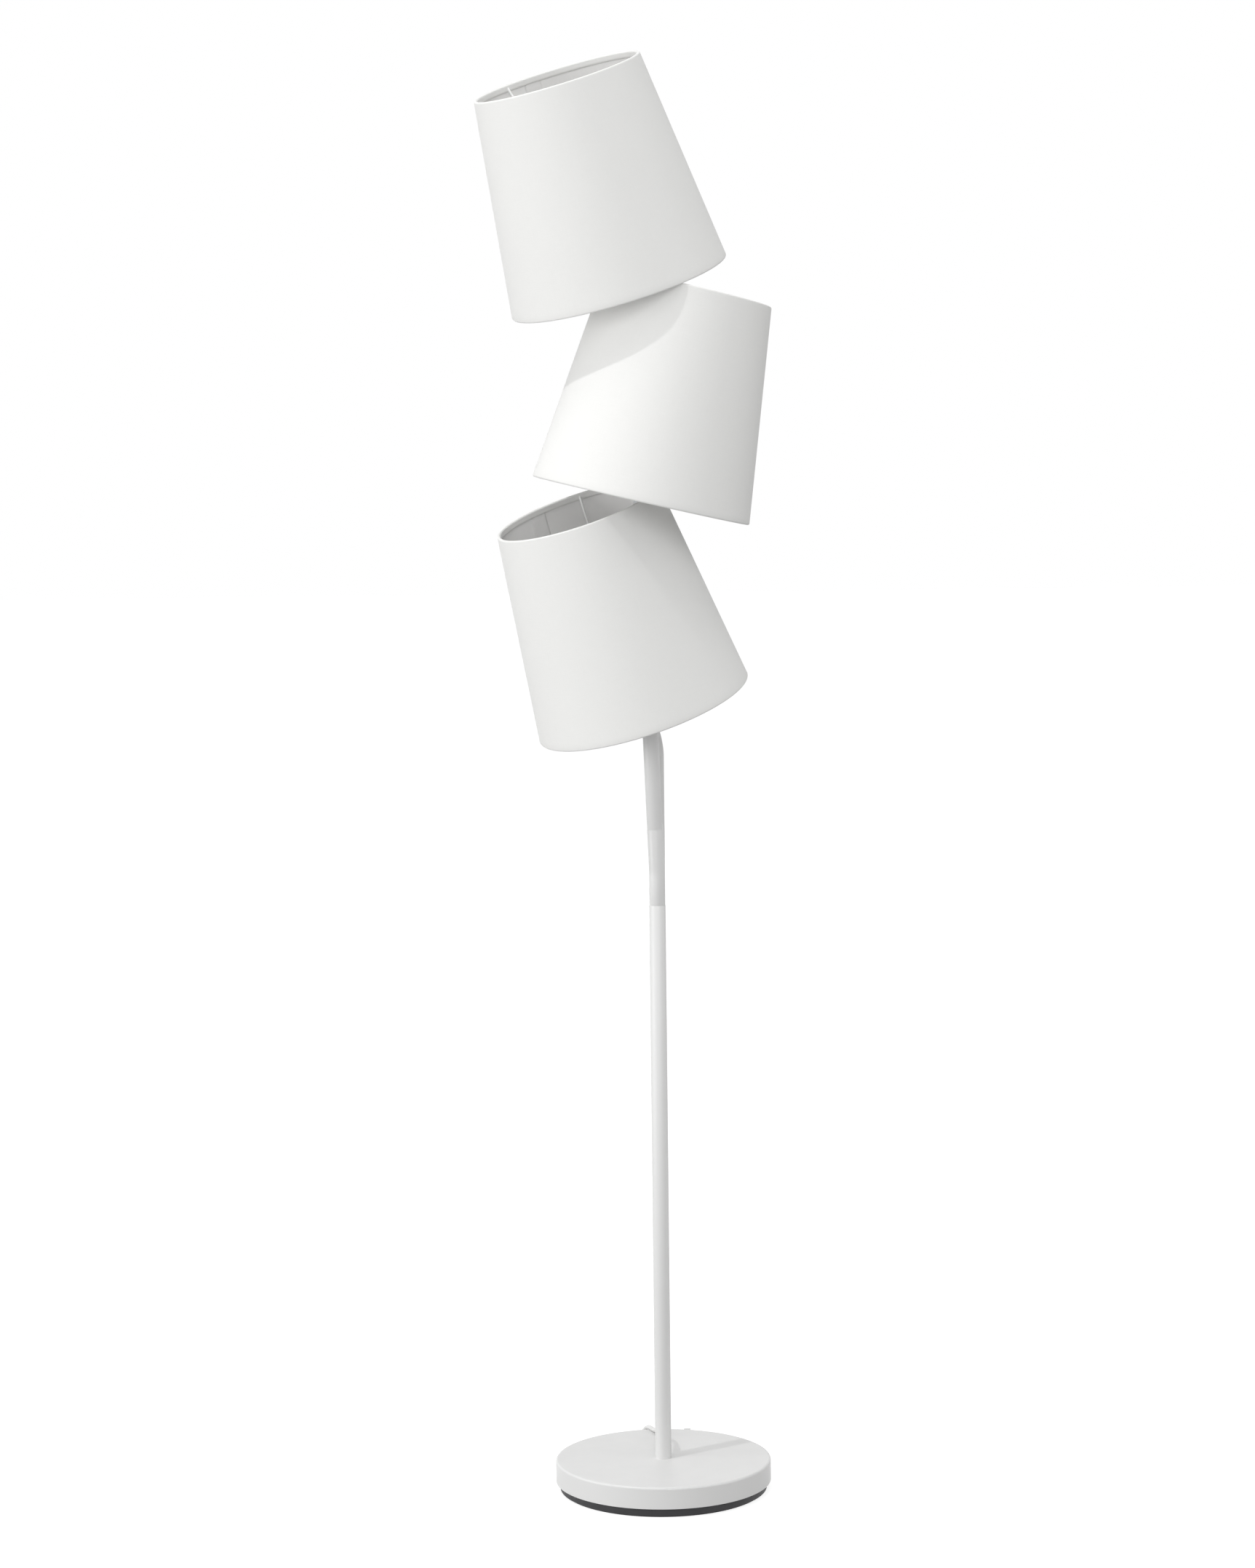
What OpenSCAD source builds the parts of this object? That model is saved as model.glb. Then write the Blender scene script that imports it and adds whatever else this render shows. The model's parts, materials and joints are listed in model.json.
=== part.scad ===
// A floor lamp: a pole on a weighted round base carries three fabric shades, each at its own tilt.
// Millimetres. Z is up, +X points right and -Y to the front.
// The origin is the centre of the base, on the floor.

/* [Base] */
// Radius of the white base cover
base_r = 125; // [105:0.5:150]
// Height of the dark plate that shows under the cover
plate_h = 10.9; // [9:0.1:14]
// How far the dark plate stays inside the cover's side
plate_inset = 4.7; // [3.5:0.1:20]
// Height of the base cover
cover_h = 25; // [22:0.5:32]
// Sheet thickness of the base cover
cover_t = 2; // [1.5:0.1:3]
// Radius of the cover's upper edge
cover_round = 2.5; // [1:0.1:4]
// Thickness of the cast weight under the cover
weight_t = 12.2; // [8:0.1:14]
// Gap between the weight and the cover's side
weight_gap = 0.6; // [0.3:0.1:2]
// Wall of the plate, floor and rim
plate_t = 3; // [2:0.1:4]
// Thickness of the felt under the plate
felt_t = 1.5; // [1:0.1:3]
// How far the felt stays inside the plate's edge
felt_inset = 3; // [1:0.5:8]
// Distance of the plate's screws from the centre
plate_screw_ring = 70; // [45:1:90]
// Radius of the plate's screws
plate_screw_r = 2; // [1.5:0.1:2.5]
// Radius of the central bolt
base_bolt_r = 4.95; // [4:0.05:5.5]
// How far the central bolt reaches into the pole
base_bolt_reach = 19; // [14:1:22]

/* [Pole and tubes] */
// Outer radius of the pole
pole_r = 9.4; // [8.6:0.1:11]
// Outer radius of the middle tube and the low lamp's arm
mid_tube_r = 9; // [8:0.1:9.2]
// Outer radius of the two upper arms
arm_r = 8; // [7:0.1:8.6]
// Wall of every tube
tube_wall = 1.75; // [1.2:0.05:2.2]
// Height of the pole's top edge
pole_top = 683; // [600:1:720]
// Height of the lower fork's body
lower_fork_h = 88; // [70:1:100]
// Straight foot of each fork below its split
fork_foot_h = 38; // [24:1:46]
// Height of the upper fork's body
upper_fork_h = 60; // [50:1:66]
// Height of the middle tube's top edge
mid_tube_top = 985; // [960:1:990]
// How far a fork's spigots reach into the tubes
spigot_h = 22; // [14:1:30]
// Lean of the middle tube to the left, in mm across per mm of height
mid_tube_lean = 0.0366; // [0.02:0.0002:0.045]
// Middle tube's socket, how far in front of the pole
stem_socket_y = 5; // [4:0.1:6]
// Low arm's socket, how far behind the pole
low_socket_y = 14.2; // [13.4:0.1:18]
// Mid arm's socket, how far in front of the middle tube
mid_socket_y = 9; // [8.6:0.1:12]
// Top arm's socket, how far behind the middle tube
top_socket_y = 9.2; // [8.6:0.1:12]
// Bend radius of the arms, along their centre line
bend_r = 60; // [40:1:90]
// Radius of a set screw
set_screw_r = 1.95; // [1.4:0.05:2.4]

/* [Low lamp] */
// Middle of the low shade's bottom edge, to the right
low_x = -13.2; // [-20:0.1:-8]
// Middle of the low shade's bottom edge, to the back
low_y = 24; // [22:0.1:30]
// Middle of the low shade's bottom edge, height
low_z = 908.9; // [895:0.1:920]
// Tilt of the low lamp from upright
low_tilt = 20.84; // [15:0.01:23]
// Compass angle that the low lamp tilts to
low_turn = -146.4; // [-155:0.1:-138]
// Length of the low arm beyond its bend
low_neck = 46; // [40:1:54]

/* [Mid lamp] */
// Middle of the mid shade's bottom edge, to the right
mid_x = -13.8; // [-18:0.1:-10]
// Middle of the mid shade's bottom edge, to the back
mid_y = -16.4; // [-22:0.1:-15]
// Middle of the mid shade's bottom edge, height over the low shade's top
mid_lift = 9.7; // [7:0.1:20]
// Tilt of the mid lamp from upright
mid_tilt = 13.41; // [9:0.01:15]
// Compass angle that the mid lamp tilts to
mid_turn = -3.26; // [-12:0.01:6]
// Length of the mid arm beyond its bend
mid_neck = 30; // [24:1:36]

/* [Top lamp] */
// Middle of the top shade's bottom edge, to the right
top_x = -35.7; // [-38:0.1:-30]
// Middle of the top shade's bottom edge, to the back
top_y = -16; // [-20:0.1:-12]
// Middle of the top shade's bottom edge, height over the mid shade's top
top_lift = 3.1; // [2.6:0.1:14]
// Tilt of the top lamp from upright
top_tilt = 20.28; // [14:0.01:21]
// Compass angle that the top lamp tilts to
top_turn = -141.55; // [-150:0.01:-134]
// Length of the top arm beyond its last bend
top_neck = 30; // [24:1:36]
// How far the top arm stays upright past the mid shade's bottom edge
top_arm_upright = 78; // [70:1:110]

/* [Shades] */
// Outer radius of a shade's top edge
shade_top_r = 95.9; // [92:0.1:97]
// Outer radius of a shade's bottom edge
shade_bottom_r = 126.1; // [115:0.1:128]
// Height of a shade along its own axis
shade_h = 244.3; // [225:0.1:246]
// Thickness of the woven cover
cover_cloth_t = 0.6; // [0.3:0.1:1]
// Thickness of the stiff lining
liner_t = 0.7; // [0.4:0.1:1.2]
// Glue line between cover and lining
glue_gap = 0.05; // [0.02:0.01:0.1]
// Radius of the wire in the rings and spokes
wire_r = 1.3; // [1:0.05:1.6]
// Height of the spider's hub above the shade's bottom edge
hub_s = 64; // [60:0.5:68]
// Thickness of the spider's hub
hub_t = 1.6; // [1:0.1:2.4]
// Outer radius of the spider's hub
hub_r = 17.8; // [17.2:0.1:18.2]

/* [Lamp holders] */
// Outer radius of the holder's sleeve and thread
sleeve_r = 13.4; // [12.6:0.1:13.6]
// Wall of the holder's sleeve
sleeve_wall = 1.9; // [1.4:0.1:2.2]
// Length of the holder's sleeve
sleeve_h = 30; // [28:0.5:34]
// Radius of the sleeve's shoulder and of the ring nut
shoulder_r = 15.5; // [14.8:0.1:15.6]
// Thickness of the sleeve's shoulder
shoulder_t = 2; // [1:0.1:3]
// Height of the ring nut that clamps the spider
nut_h = 5; // [3:0.1:6]
// Height of the holder's cap
cap_h = 14; // [11:0.5:15]
// Wall of the holder's cap
cap_wall = 1.7; // [1.2:0.1:2.4]
// Radius of the threaded nipple
nipple_r = 5; // [4.5:0.05:5.2]
// Radius of the nipple's bore
nipple_bore_r = 3.2; // [2.6:0.1:3.4]
// Width of the lock nut across its flats
lock_nut_af = 14; // [12.5:0.5:15]
// Height of the lock nut
lock_nut_h = 5; // [3:0.1:6]

/* [Bulbs] */
// Widest radius of the candle bulb
bulb_r = 17.5; // [14:0.1:18]
// Length of the bulb's glass
bulb_h = 78; // [60:1:90]
// Wall of the bulb's glass
bulb_wall = 1; // [0.6:0.1:1.4]
// Radius of the bulb's metal cap
bulb_cap_r = 6.9; // [6.2:0.1:7]
// Length of the bulb's metal cap, with its contact
bulb_cap_h = 23; // [20:0.5:26]

/* [Cord] */
// Diameter of the cord
cord_d = 5; // [4.6:0.1:5]
// Clear height between the pole's plug and the strain relief above it
exit_gap = 3; // [1:0.1:6]
// Length of the strain relief outside the pole
relief_h = 24; // [20:0.5:24]
// Width of the tie round the coil
tie_w = 8; // [4:0.5:12]
// Thickness of the tie
tie_t = 0.8; // [0.5:0.1:1.2]

/* [Switch and plug] */
// Length of the switch along the cord
switch_l = 46; // [44:0.5:46]
// Width of the switch
switch_w = 20; // [17:0.5:24]
// Height of the switch's body
switch_h = 14; // [13:0.5:16]
// Wall of the switch's shells
switch_wall = 1.6; // [1.2:0.1:2.2]
// Length of the rocker
rocker_l = 17; // [14:0.5:20]
// Width of the rocker
rocker_w = 9; // [7:0.5:11]
// Swing of the rocker from off to on
rocker_swing = 12; // [6:1:14]
// Width of the plug's body
plug_w = 35; // [30:0.5:36]
// Thickness of the plug's body
plug_t = 13.7; // [12:0.1:14]
// Length of the plug's body, with its neck
plug_l = 42; // [38:0.5:44]
// Length of the plug's pins
pin_l = 19; // [17:0.5:20]
// Radius of the plug's pins
pin_r = 2; // [1.8:0.1:2.4]
// Distance between the pins' centres
pin_pitch = 18.6; // [17:0.1:20]

/* [Hidden] */
$fn = 64;

white_paint = [0.93, 0.93, 0.92];
white_cloth = [0.95, 0.95, 0.93];
liner_white = [0.90, 0.90, 0.88];
dark_plastic = [0.2, 0.2, 0.21];
plastic_white = [0.92, 0.92, 0.90];
cord_white = [0.90, 0.90, 0.88];
zinc = [0.72, 0.72, 0.74];
brass = [0.80, 0.66, 0.36];
cast_grey = [0.36, 0.36, 0.37];
felt_grey = [0.14, 0.14, 0.15];
bulb_white = [0.96, 0.96, 0.94];

turn_gap = 0.3;   // gap round a piece that turns on another
thread_gap = 0.05; // gap of a pin, spigot or thread in its hole
lead_r = 1.8;     // sleeved wires inside the tubes
lead_bore_r = 3.2;
screw_head_r = 1.9; // a countersunk head's radius, as a share of the screw's

// Base
plate_r = base_r - plate_inset;
base_top = plate_h + cover_h;
weight_top = base_top - cover_t;
weight_bottom = weight_top - weight_t;
cover_in_r = base_r - cover_t;
bolt_head_h = 6.4;
bolt_head_af = 17;
washer_r = 14;
washer_t = 2;
bolt_room_r = 17;
plug_piece_h = base_bolt_reach + 4;

// Forks
function unit(v) = v / norm(v);
function axis_dir(tilt, turn) = [sin(tilt) * cos(turn), sin(tilt) * sin(turn), cos(tilt)];
function across(p, d, z) = p + d * ((z - p[2]) / d[2]);

stem_dir = unit([-mid_tube_lean, 0, 1]);
lower_split = [0, 0, pole_top + fork_foot_h];
lower_top = pole_top + lower_fork_h;
stem_foot = [-mid_tube_lean * (lower_fork_h - fork_foot_h), -stem_socket_y, lower_top];
low_foot = [0.3, low_socket_y, lower_top];
upper_foot = across(stem_foot, stem_dir, mid_tube_top);
upper_split = across(stem_foot, stem_dir, mid_tube_top + fork_foot_h * 0.6);
upper_top = mid_tube_top + upper_fork_h;
mid_foot = [upper_foot[0] - 4.6, upper_foot[1] - mid_socket_y, upper_top];
top_foot = [upper_foot[0] - 2.2, upper_foot[1] + top_socket_y, upper_top];

// Lamps: 0 is the low one, 1 the mid one, 2 the top one
mid_z = low_z + shade_h * cos(low_tilt) + mid_lift;
top_z = mid_z + shade_h * cos(mid_tilt) + top_lift;
top_arm_bend_z = mid_z + top_arm_upright;
lamp_at = [[low_x, low_y, low_z], [mid_x, mid_y, mid_z], [top_x, top_y, top_z]];
lamp_tilt = [low_tilt, mid_tilt, top_tilt];
lamp_turn = [low_turn, mid_turn, top_turn];
spoke_turns = [[234.6, 348, 93], [75, 195, 315], [270, 30, 150]]; // the low spider leaves a bay for the tube
tube_r = [mid_tube_r, arm_r, arm_r];
function lamp_dir(k) = axis_dir(lamp_tilt[k], lamp_turn[k]);
function on_lamp(k, s) = lamp_at[k] + lamp_dir(k) * s;

// Heights along a lamp's own axis, from the shade's bottom edge
arm_end_s = -4;
end_plug_h = 6;
sleeve_top = hub_s + 10;
sleeve_bottom = sleeve_top - sleeve_h;
cap_bottom = sleeve_bottom - cap_h;
nipple_bottom = arm_end_s - end_plug_h - 4;
nipple_top = cap_bottom + cap_wall + 3;
lip_t = 1.5;
core_top = sleeve_top - lip_t - 0.2;
contact_t = 1.1;
glass_s = sleeve_top + 1.1;
bulb_s = glass_s - bulb_cap_h;
contact_s = bulb_s - contact_t;
core_floor = contact_s - sleeve_bottom;
shell_wall = 0.7;

low_path = [low_foot, on_lamp(0, -low_neck), on_lamp(0, arm_end_s)];
mid_path = [mid_foot, on_lamp(1, -mid_neck), on_lamp(1, arm_end_s)];
top_bend = [(top_foot[0] + on_lamp(2, -top_neck)[0]) / 2, top_foot[1], top_arm_bend_z];
top_path = [top_foot, top_bend, on_lamp(2, -top_neck), on_lamp(2, arm_end_s)];
arm_path = [low_path, mid_path, top_path];

// Shade wall
shade_slope = (shade_bottom_r - shade_top_r) / shade_h;
wall_cos = cos(atan(shade_slope));
roll_r = wire_r + thread_gap + cover_cloth_t;
function wall_r(s) = shade_bottom_r - shade_slope * s;
low_ring_r = wall_r(roll_r) - roll_r / wall_cos;
top_ring_r = wall_r(shade_h - roll_r) - roll_r / wall_cos;

// ---------- helpers

module along(a, d) {
    translate(a)
        rotate([0, acos(d[2] / norm(d)), atan2(d[1], d[0])])
            children();
}

module rod(a, b, r) {
    along(a, b - a)
        cylinder(h = norm(b - a), r = r);
}

// Places a part of lamp k, whose Z is the lamp's axis and whose zero is the shade's bottom edge
module on_axis(k) {
    translate(lamp_at[k])
        rotate([0, lamp_tilt[k], lamp_turn[k]])
            children();
}

function heading(path, i) = unit(path[i + 1] - path[i]);
function bend_angle(path, i) = acos(heading(path, i - 1) * heading(path, i));
lap = 0.5; // how far a straight reaches into a bend, whose bar is thicker by bend_step
bend_step = 0.05;
function bend_cut(path, i) = i == 0 || i == len(path) - 1 ? lap : bend_r * tan(bend_angle(path, i) / 2);

// A round bar of radius r along a path, with a circular bend at each inner point
module bent_bar(path, r) {
    for (i = [0:len(path) - 2]) {
        u = heading(path, i);
        rod(path[i] + u * (bend_cut(path, i) - lap), path[i + 1] - u * (bend_cut(path, i + 1) - lap), r);
    }
    for (i = [1:len(path) - 2]) {
        u = heading(path, i - 1);
        n = unit(cross(u, heading(path, i)));
        inward = cross(n, u);
        c = path[i] - u * bend_cut(path, i) + inward * bend_r;
        multmatrix([[-inward[0], u[0], n[0], c[0]], [-inward[1], u[1], n[1], c[1]],
                    [-inward[2], u[2], n[2], c[2]], [0, 0, 0, 1]])
            rotate_extrude(angle = bend_angle(path, i))
                translate([bend_r, 0])
                    circle(r = r + bend_step);
    }
}

// ---------- base

module base_cover() {
    color(white_paint)
    translate([0, 0, plate_h])
    rotate_extrude($fn = 128)
    difference() {
        union() {
            translate([base_bolt_r + turn_gap, 0])
                square([base_r - cover_round - base_bolt_r - turn_gap, cover_h]);
            translate([base_r - cover_round - 1, 0])
                square([cover_round + 1, cover_h - cover_round]);
            translate([base_r - cover_round, cover_h - cover_round])
                circle(r = cover_round);
        }
        translate([-1, -1])
            square([cover_in_r + 1, cover_h - cover_t + 1]);
    }
}

module base_weight() {
    color(cast_grey)
    difference() {
        translate([0, 0, weight_bottom])
            cylinder(h = weight_t, r = cover_in_r - weight_gap);
        translate([0, 0, weight_bottom - 1])
            cylinder(h = weight_t + 2, r = base_bolt_r + turn_gap);
        plate_screw_places()
            translate([0, 0, weight_bottom - 1])
                cylinder(h = weight_t, r = plate_screw_r + thread_gap);
    }
}

module plate_screw_places() {
    for (a = [30, 150, 270])
        rotate([0, 0, a])
            translate([plate_screw_ring, 0, 0])
                children();
}

module base_plate() {
    color(dark_plastic)
    difference() {
        union() {
            translate([0, 0, felt_t])
                cylinder(h = plate_t, r = plate_r);
            difference() {
                union() {
                    translate([0, 0, felt_t])
                        cylinder(h = plate_h - felt_t, r = plate_r);
                    translate([0, 0, plate_h])
                        cylinder(h = weight_bottom - plate_h, r = cover_in_r - weight_gap);
                }
                translate([0, 0, felt_t])
                    cylinder(h = weight_bottom, r = min(plate_r, cover_in_r - weight_gap) - plate_t);
            }
            translate([0, 0, felt_t])
                cylinder(h = weight_bottom - felt_t, r = bolt_room_r + plate_t);
            plate_screw_places()
                translate([0, 0, felt_t])
                    cylinder(h = weight_bottom - felt_t, r = 3 * plate_screw_r);
        }
        translate([0, 0, felt_t - 1])
            cylinder(h = weight_bottom + 2, r = bolt_room_r);
        plate_screw_places() {
            translate([0, 0, felt_t - 1])
                cylinder(h = weight_bottom + 2, r = plate_screw_r + thread_gap);
            translate([0, 0, felt_t - 1])
                cylinder(h = plate_t + 1, r = screw_head_r * plate_screw_r + turn_gap);
        }
    }
}

module base_felt() {
    color(felt_grey)
    cylinder(h = felt_t, r = plate_r - felt_inset);
}

module base_bolt() {
    color(zinc)
    union() {
        translate([0, 0, weight_bottom - washer_t - bolt_head_h])
            cylinder(h = bolt_head_h, r = bolt_head_af / sqrt(3), $fn = 6);
        translate([0, 0, weight_bottom - washer_t - 1])
            cylinder(h = base_top + base_bolt_reach - weight_bottom + washer_t + 1, r = base_bolt_r);
    }
}

module base_washer() {
    color(zinc)
    translate([0, 0, weight_bottom - washer_t])
    difference() {
        cylinder(h = washer_t, r = washer_r);
        translate([0, 0, -1])
            cylinder(h = washer_t + 2, r = base_bolt_r + turn_gap);
    }
}

module plate_screws() {
    color(zinc)
    plate_screw_places() {
        translate([0, 0, felt_t + plate_t - 2])
            cylinder(h = 2, r = screw_head_r * plate_screw_r);
        translate([0, 0, felt_t + plate_t - 1])
            cylinder(h = weight_bottom + 8 - felt_t - plate_t, r = plate_screw_r);
    }
}

// ---------- pole, forks and tubes

module pole_plug() {
    color(zinc)
    translate([0, 0, base_top])
    difference() {
        cylinder(h = plug_piece_h, r = pole_r - tube_wall - thread_gap);
        translate([0, 0, -1])
            cylinder(h = plug_piece_h + 2, r = base_bolt_r + thread_gap);
    }
}

// Where each set screw stands: a point on the tube's axis, its outward direction, and the tube's radius
function square_to(d, v) = unit(v - d * (v * d));
back = [0, 1, 0];
right = [1, 0, 0];
screw_in = 9;
set_screw_at = [
    [[0, 0, pole_top - screw_in], back, pole_r],
    [stem_foot + stem_dir * screw_in, square_to(stem_dir, right), mid_tube_r],
    [low_foot + heading(low_path, 0) * screw_in, square_to(heading(low_path, 0), back), mid_tube_r],
    [upper_foot - stem_dir * screw_in, square_to(stem_dir, right), mid_tube_r],
    [mid_foot + heading(mid_path, 0) * screw_in, square_to(heading(mid_path, 0), right), arm_r],
    [top_foot + heading(top_path, 0) * screw_in, square_to(heading(top_path, 0), right), arm_r]];
screw_bite = 1.2;

module set_screw_bore(i) {
    s = set_screw_at[i];
    along(s[0], s[1])
        translate([0, 0, s[2] - tube_wall - screw_bite])
            cylinder(h = tube_wall + screw_bite + 3, r = set_screw_r + thread_gap);
}

module set_screws() {
    color(zinc)
    for (s = set_screw_at)
        along(s[0], s[1])
            translate([0, 0, s[2] - tube_wall - screw_bite + thread_gap])
                cylinder(h = tube_wall + screw_bite - 0.4, r = set_screw_r);
}

module pole() {
    color(white_paint)
    difference() {
        translate([0, 0, base_top])
            cylinder(h = pole_top - base_top, r = pole_r);
        translate([0, 0, base_top - 1])
            cylinder(h = pole_top - base_top + 2, r = pole_r - tube_wall);
        translate([0, 0, exit_z])
            rotate([-90, 0, 0])
                cylinder(h = pole_r + 5, r = relief_neck_r + thread_gap);
        set_screw_bore(0);
    }
}

// A cast branch: foot on a tube, two legs to the square ends t1 and t2 of tubes that leave along d1, d2
module fork_leg(from, to, d, r) {
    difference() {
        rod(from, to + unit(to - from) * 6, r);
        rod(to, to + d * 20, 2 * r);
    }
}

module fork_bores(foot, foot_dir, split, t1, d1, t2, d2, screws) {
    rod(foot - foot_dir * (spigot_h + 1), split, lead_bore_r);
    translate(split)
        sphere(r = lead_bore_r + 0.2);
    rod(split, t1, lead_bore_r);
    rod(split, t2, lead_bore_r);
    translate(t1)
        sphere(r = lead_bore_r + 0.2);
    translate(t2)
        sphere(r = lead_bore_r + 0.2);
    rod(t1, t1 + d1 * (spigot_h + 1), lead_bore_r);
    rod(t2, t2 + d2 * (spigot_h + 1), lead_bore_r);
    for (i = screws)
        set_screw_bore(i);
}

module fork(foot, foot_dir, split, t1, d1, r1, t2, d2, r2, r0, r_in, screws) {
    difference() {
        union() {
            rod(foot, split, r0);
            translate(split)
                sphere(r = r0 + 0.05);
            fork_leg(split, t1, d1, r1 + 0.1);
            fork_leg(split, t2, d2, r2 + 0.1);
            rod(foot + foot_dir * 4, foot - foot_dir * spigot_h, r_in);
            rod(t1 - d1 * 4, t1 + d1 * spigot_h, r1 - tube_wall - thread_gap);
            rod(t2 - d2 * 4, t2 + d2 * spigot_h, r2 - tube_wall - thread_gap);
        }
        fork_bores(foot, foot_dir, split, t1, d1, t2, d2, screws);
    }
}

module lower_fork() {
    color(white_paint)
    fork([0, 0, pole_top], [0, 0, 1], lower_split,
         stem_foot, stem_dir, mid_tube_r, low_foot, heading(low_path, 0), mid_tube_r,
         mid_tube_r + 0.1, pole_r - tube_wall - thread_gap, [0, 1, 2]);
}

module upper_fork() {
    color(white_paint)
    fork(upper_foot, stem_dir, upper_split,
         mid_foot, heading(mid_path, 0), arm_r, top_foot, heading(top_path, 0), arm_r,
         mid_tube_r + 0.1, mid_tube_r - tube_wall - thread_gap, [3, 4, 5]);
}
module middle_tube() {
    color(white_paint)
    difference() {
        rod(stem_foot, upper_foot, mid_tube_r);
        rod(stem_foot - stem_dir, upper_foot + stem_dir, mid_tube_r - tube_wall);
        set_screw_bore(1);
        set_screw_bore(3);
    }
}

// An arm: a bent tube, closed at its end by a threaded plug
module arm(k, screw) {
    path = arm_path[k];
    last = len(path) - 1;
    end_dir = lamp_dir(k);
    bore_path = [for (i = [0:last]) i == 0 ? path[i] - heading(path, i)
        : i == last ? path[i] - end_dir * end_plug_h : path[i]];
    color(white_paint)
    difference() {
        bent_bar(path, tube_r[k]);
        bent_bar(bore_path, tube_r[k] - tube_wall);
        rod(path[last] - end_dir * (end_plug_h + 1), path[last] + end_dir, nipple_r + thread_gap);
        set_screw_bore(screw);
    }
}

// ---------- lamp holders

module nipples() {
    color(zinc)
    for (k = [0:2])
        on_axis(k)
            translate([0, 0, nipple_bottom])
                difference() {
                    cylinder(h = nipple_top - nipple_bottom, r = nipple_r);
                    translate([0, 0, -1])
                        cylinder(h = nipple_top - nipple_bottom + 2, r = nipple_bore_r);
                }
}

module lock_nuts() {
    color(zinc)
    for (k = [0:2])
        on_axis(k)
            translate([0, 0, arm_end_s])
                difference() {
                    cylinder(h = lock_nut_h, r = lock_nut_af / sqrt(3), $fn = 6);
                    translate([0, 0, -1])
                        cylinder(h = lock_nut_h + 2, r = nipple_r + thread_gap);
                }
}

// Domed cap that screws on the nipple; the dome is a quarter circle round its shoulder
module holder_cap(k) {
    dome = cap_h * 0.65;
    steps = 6;
    foot_r = nipple_r + cap_wall + 1;
    outer = [for (i = [0:steps])
        let (a = 90 * i / steps)
        [foot_r + (sleeve_r - foot_r) * sin(a), cap_bottom + dome * (1 - cos(a))]];
    inner = [for (i = [steps:-1:0])
        let (a = 90 * i / steps)
        [foot_r + (sleeve_r - foot_r) * sin(a) - cap_wall * sin(a) - 1.2 * cos(a),
         cap_bottom + dome * (1 - cos(a)) + cap_wall * cos(a)]];
    color(plastic_white)
    on_axis(k)
    rotate_extrude()
        polygon(concat([[nipple_r + thread_gap, cap_bottom]], outer,
            [[sleeve_r, sleeve_bottom], [sleeve_r - cap_wall, sleeve_bottom]], inner,
            [[nipple_r + thread_gap, cap_bottom + cap_wall]]));
}

module holder_sleeve(k) {
    color(plastic_white)
    on_axis(k)
    difference() {
        union() {
            translate([0, 0, sleeve_bottom])
                cylinder(h = sleeve_h, r = sleeve_r);
            translate([0, 0, hub_s - shoulder_t])
                cylinder(h = shoulder_t, r = shoulder_r);
        }
        translate([0, 0, sleeve_bottom - 1])
            cylinder(h = sleeve_h - lip_t + 1, r = sleeve_r - sleeve_wall);
        translate([0, 0, sleeve_top - 3])
            cylinder(h = 4, r = bulb_cap_r + shell_wall + 2 * turn_gap);
    }
}

module holder_core(k) {
    core_r = sleeve_r - sleeve_wall - 0.2;
    color(plastic_white)
    on_axis(k)
    difference() {
        translate([0, 0, sleeve_bottom])
            cylinder(h = core_top - sleeve_bottom, r = core_r);
        translate([0, 0, contact_s])
            cylinder(h = sleeve_h, r = bulb_cap_r + shell_wall + turn_gap + thread_gap);
        for (side = [-1, 1])
            translate([side * 6, 0, sleeve_bottom - 1])
                cylinder(h = core_floor + 2, r = 1.2);
    }
}

// In each holder: the threaded shell and the centre contact
module holder_contacts() {
    color(brass)
    for (k = [0:2])
        on_axis(k) {
            difference() {
                translate([0, 0, contact_s])
                    cylinder(h = core_top - contact_s - 4, r = bulb_cap_r + shell_wall + turn_gap);
                translate([0, 0, contact_s - 1])
                    cylinder(h = sleeve_h, r = bulb_cap_r + turn_gap);
            }
            translate([0, 0, contact_s])
                cylinder(h = contact_t, r = 3);
        }
}

module ring_nut(k) {
    grips = 16;
    color(plastic_white)
    on_axis(k)
    translate([0, 0, hub_s + hub_t])
    difference() {
        cylinder(h = nut_h, r = shoulder_r);
        translate([0, 0, -1])
            cylinder(h = nut_h + 2, r = sleeve_r + thread_gap);
        for (i = [0:grips - 1])
            rotate([0, 0, i * 360 / grips])
                translate([shoulder_r + 0.4, 0, 1])
                    cylinder(h = nut_h, r = 1, $fn = 24);
    }
}

// ---------- shades

module hem_wire(r, s) {
    translate([0, 0, s])
        rotate_extrude($fn = 128)
            translate([r, 0])
                circle(r = wire_r, $fn = 24);
}

// Wires of radius r from the hub towards the top ring's wire; they end short of that wire's centre
module spokes(k, r, short) {
    from = [hub_r - 0.7, 0, hub_s + wire_r];
    to = [top_ring_r, 0, shade_h - roll_r];
    for (turn = spoke_turns[k])
        rotate([0, 0, turn])
            rod(from, to - unit(to - from) * short, r, $fn = 24);
}

module spider(k) {
    color(white_paint)
    on_axis(k)
    union() {
        translate([0, 0, hub_s])
            difference() {
                cylinder(h = hub_t, r = hub_r);
                translate([0, 0, -1])
                    cylinder(h = hub_t + 2, r = sleeve_r + turn_gap);
            }
        spokes(k, wire_r, wire_r + thread_gap);
    }
}

module wire_rings(k) {
    color(white_paint)
    on_axis(k) {
        hem_wire(low_ring_r, roll_r);
        hem_wire(top_ring_r, shade_h - roll_r);
    }
}

// A band of the shade's wall between two heights, from one depth under its outer face to another
module wall_band(s0, s1, d0, d1) {
    polygon([[wall_r(s0) - d0 / wall_cos, s0], [wall_r(s1) - d0 / wall_cos, s1],
             [wall_r(s1) - d1 / wall_cos, s1], [wall_r(s0) - d1 / wall_cos, s0]]);
}

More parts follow.
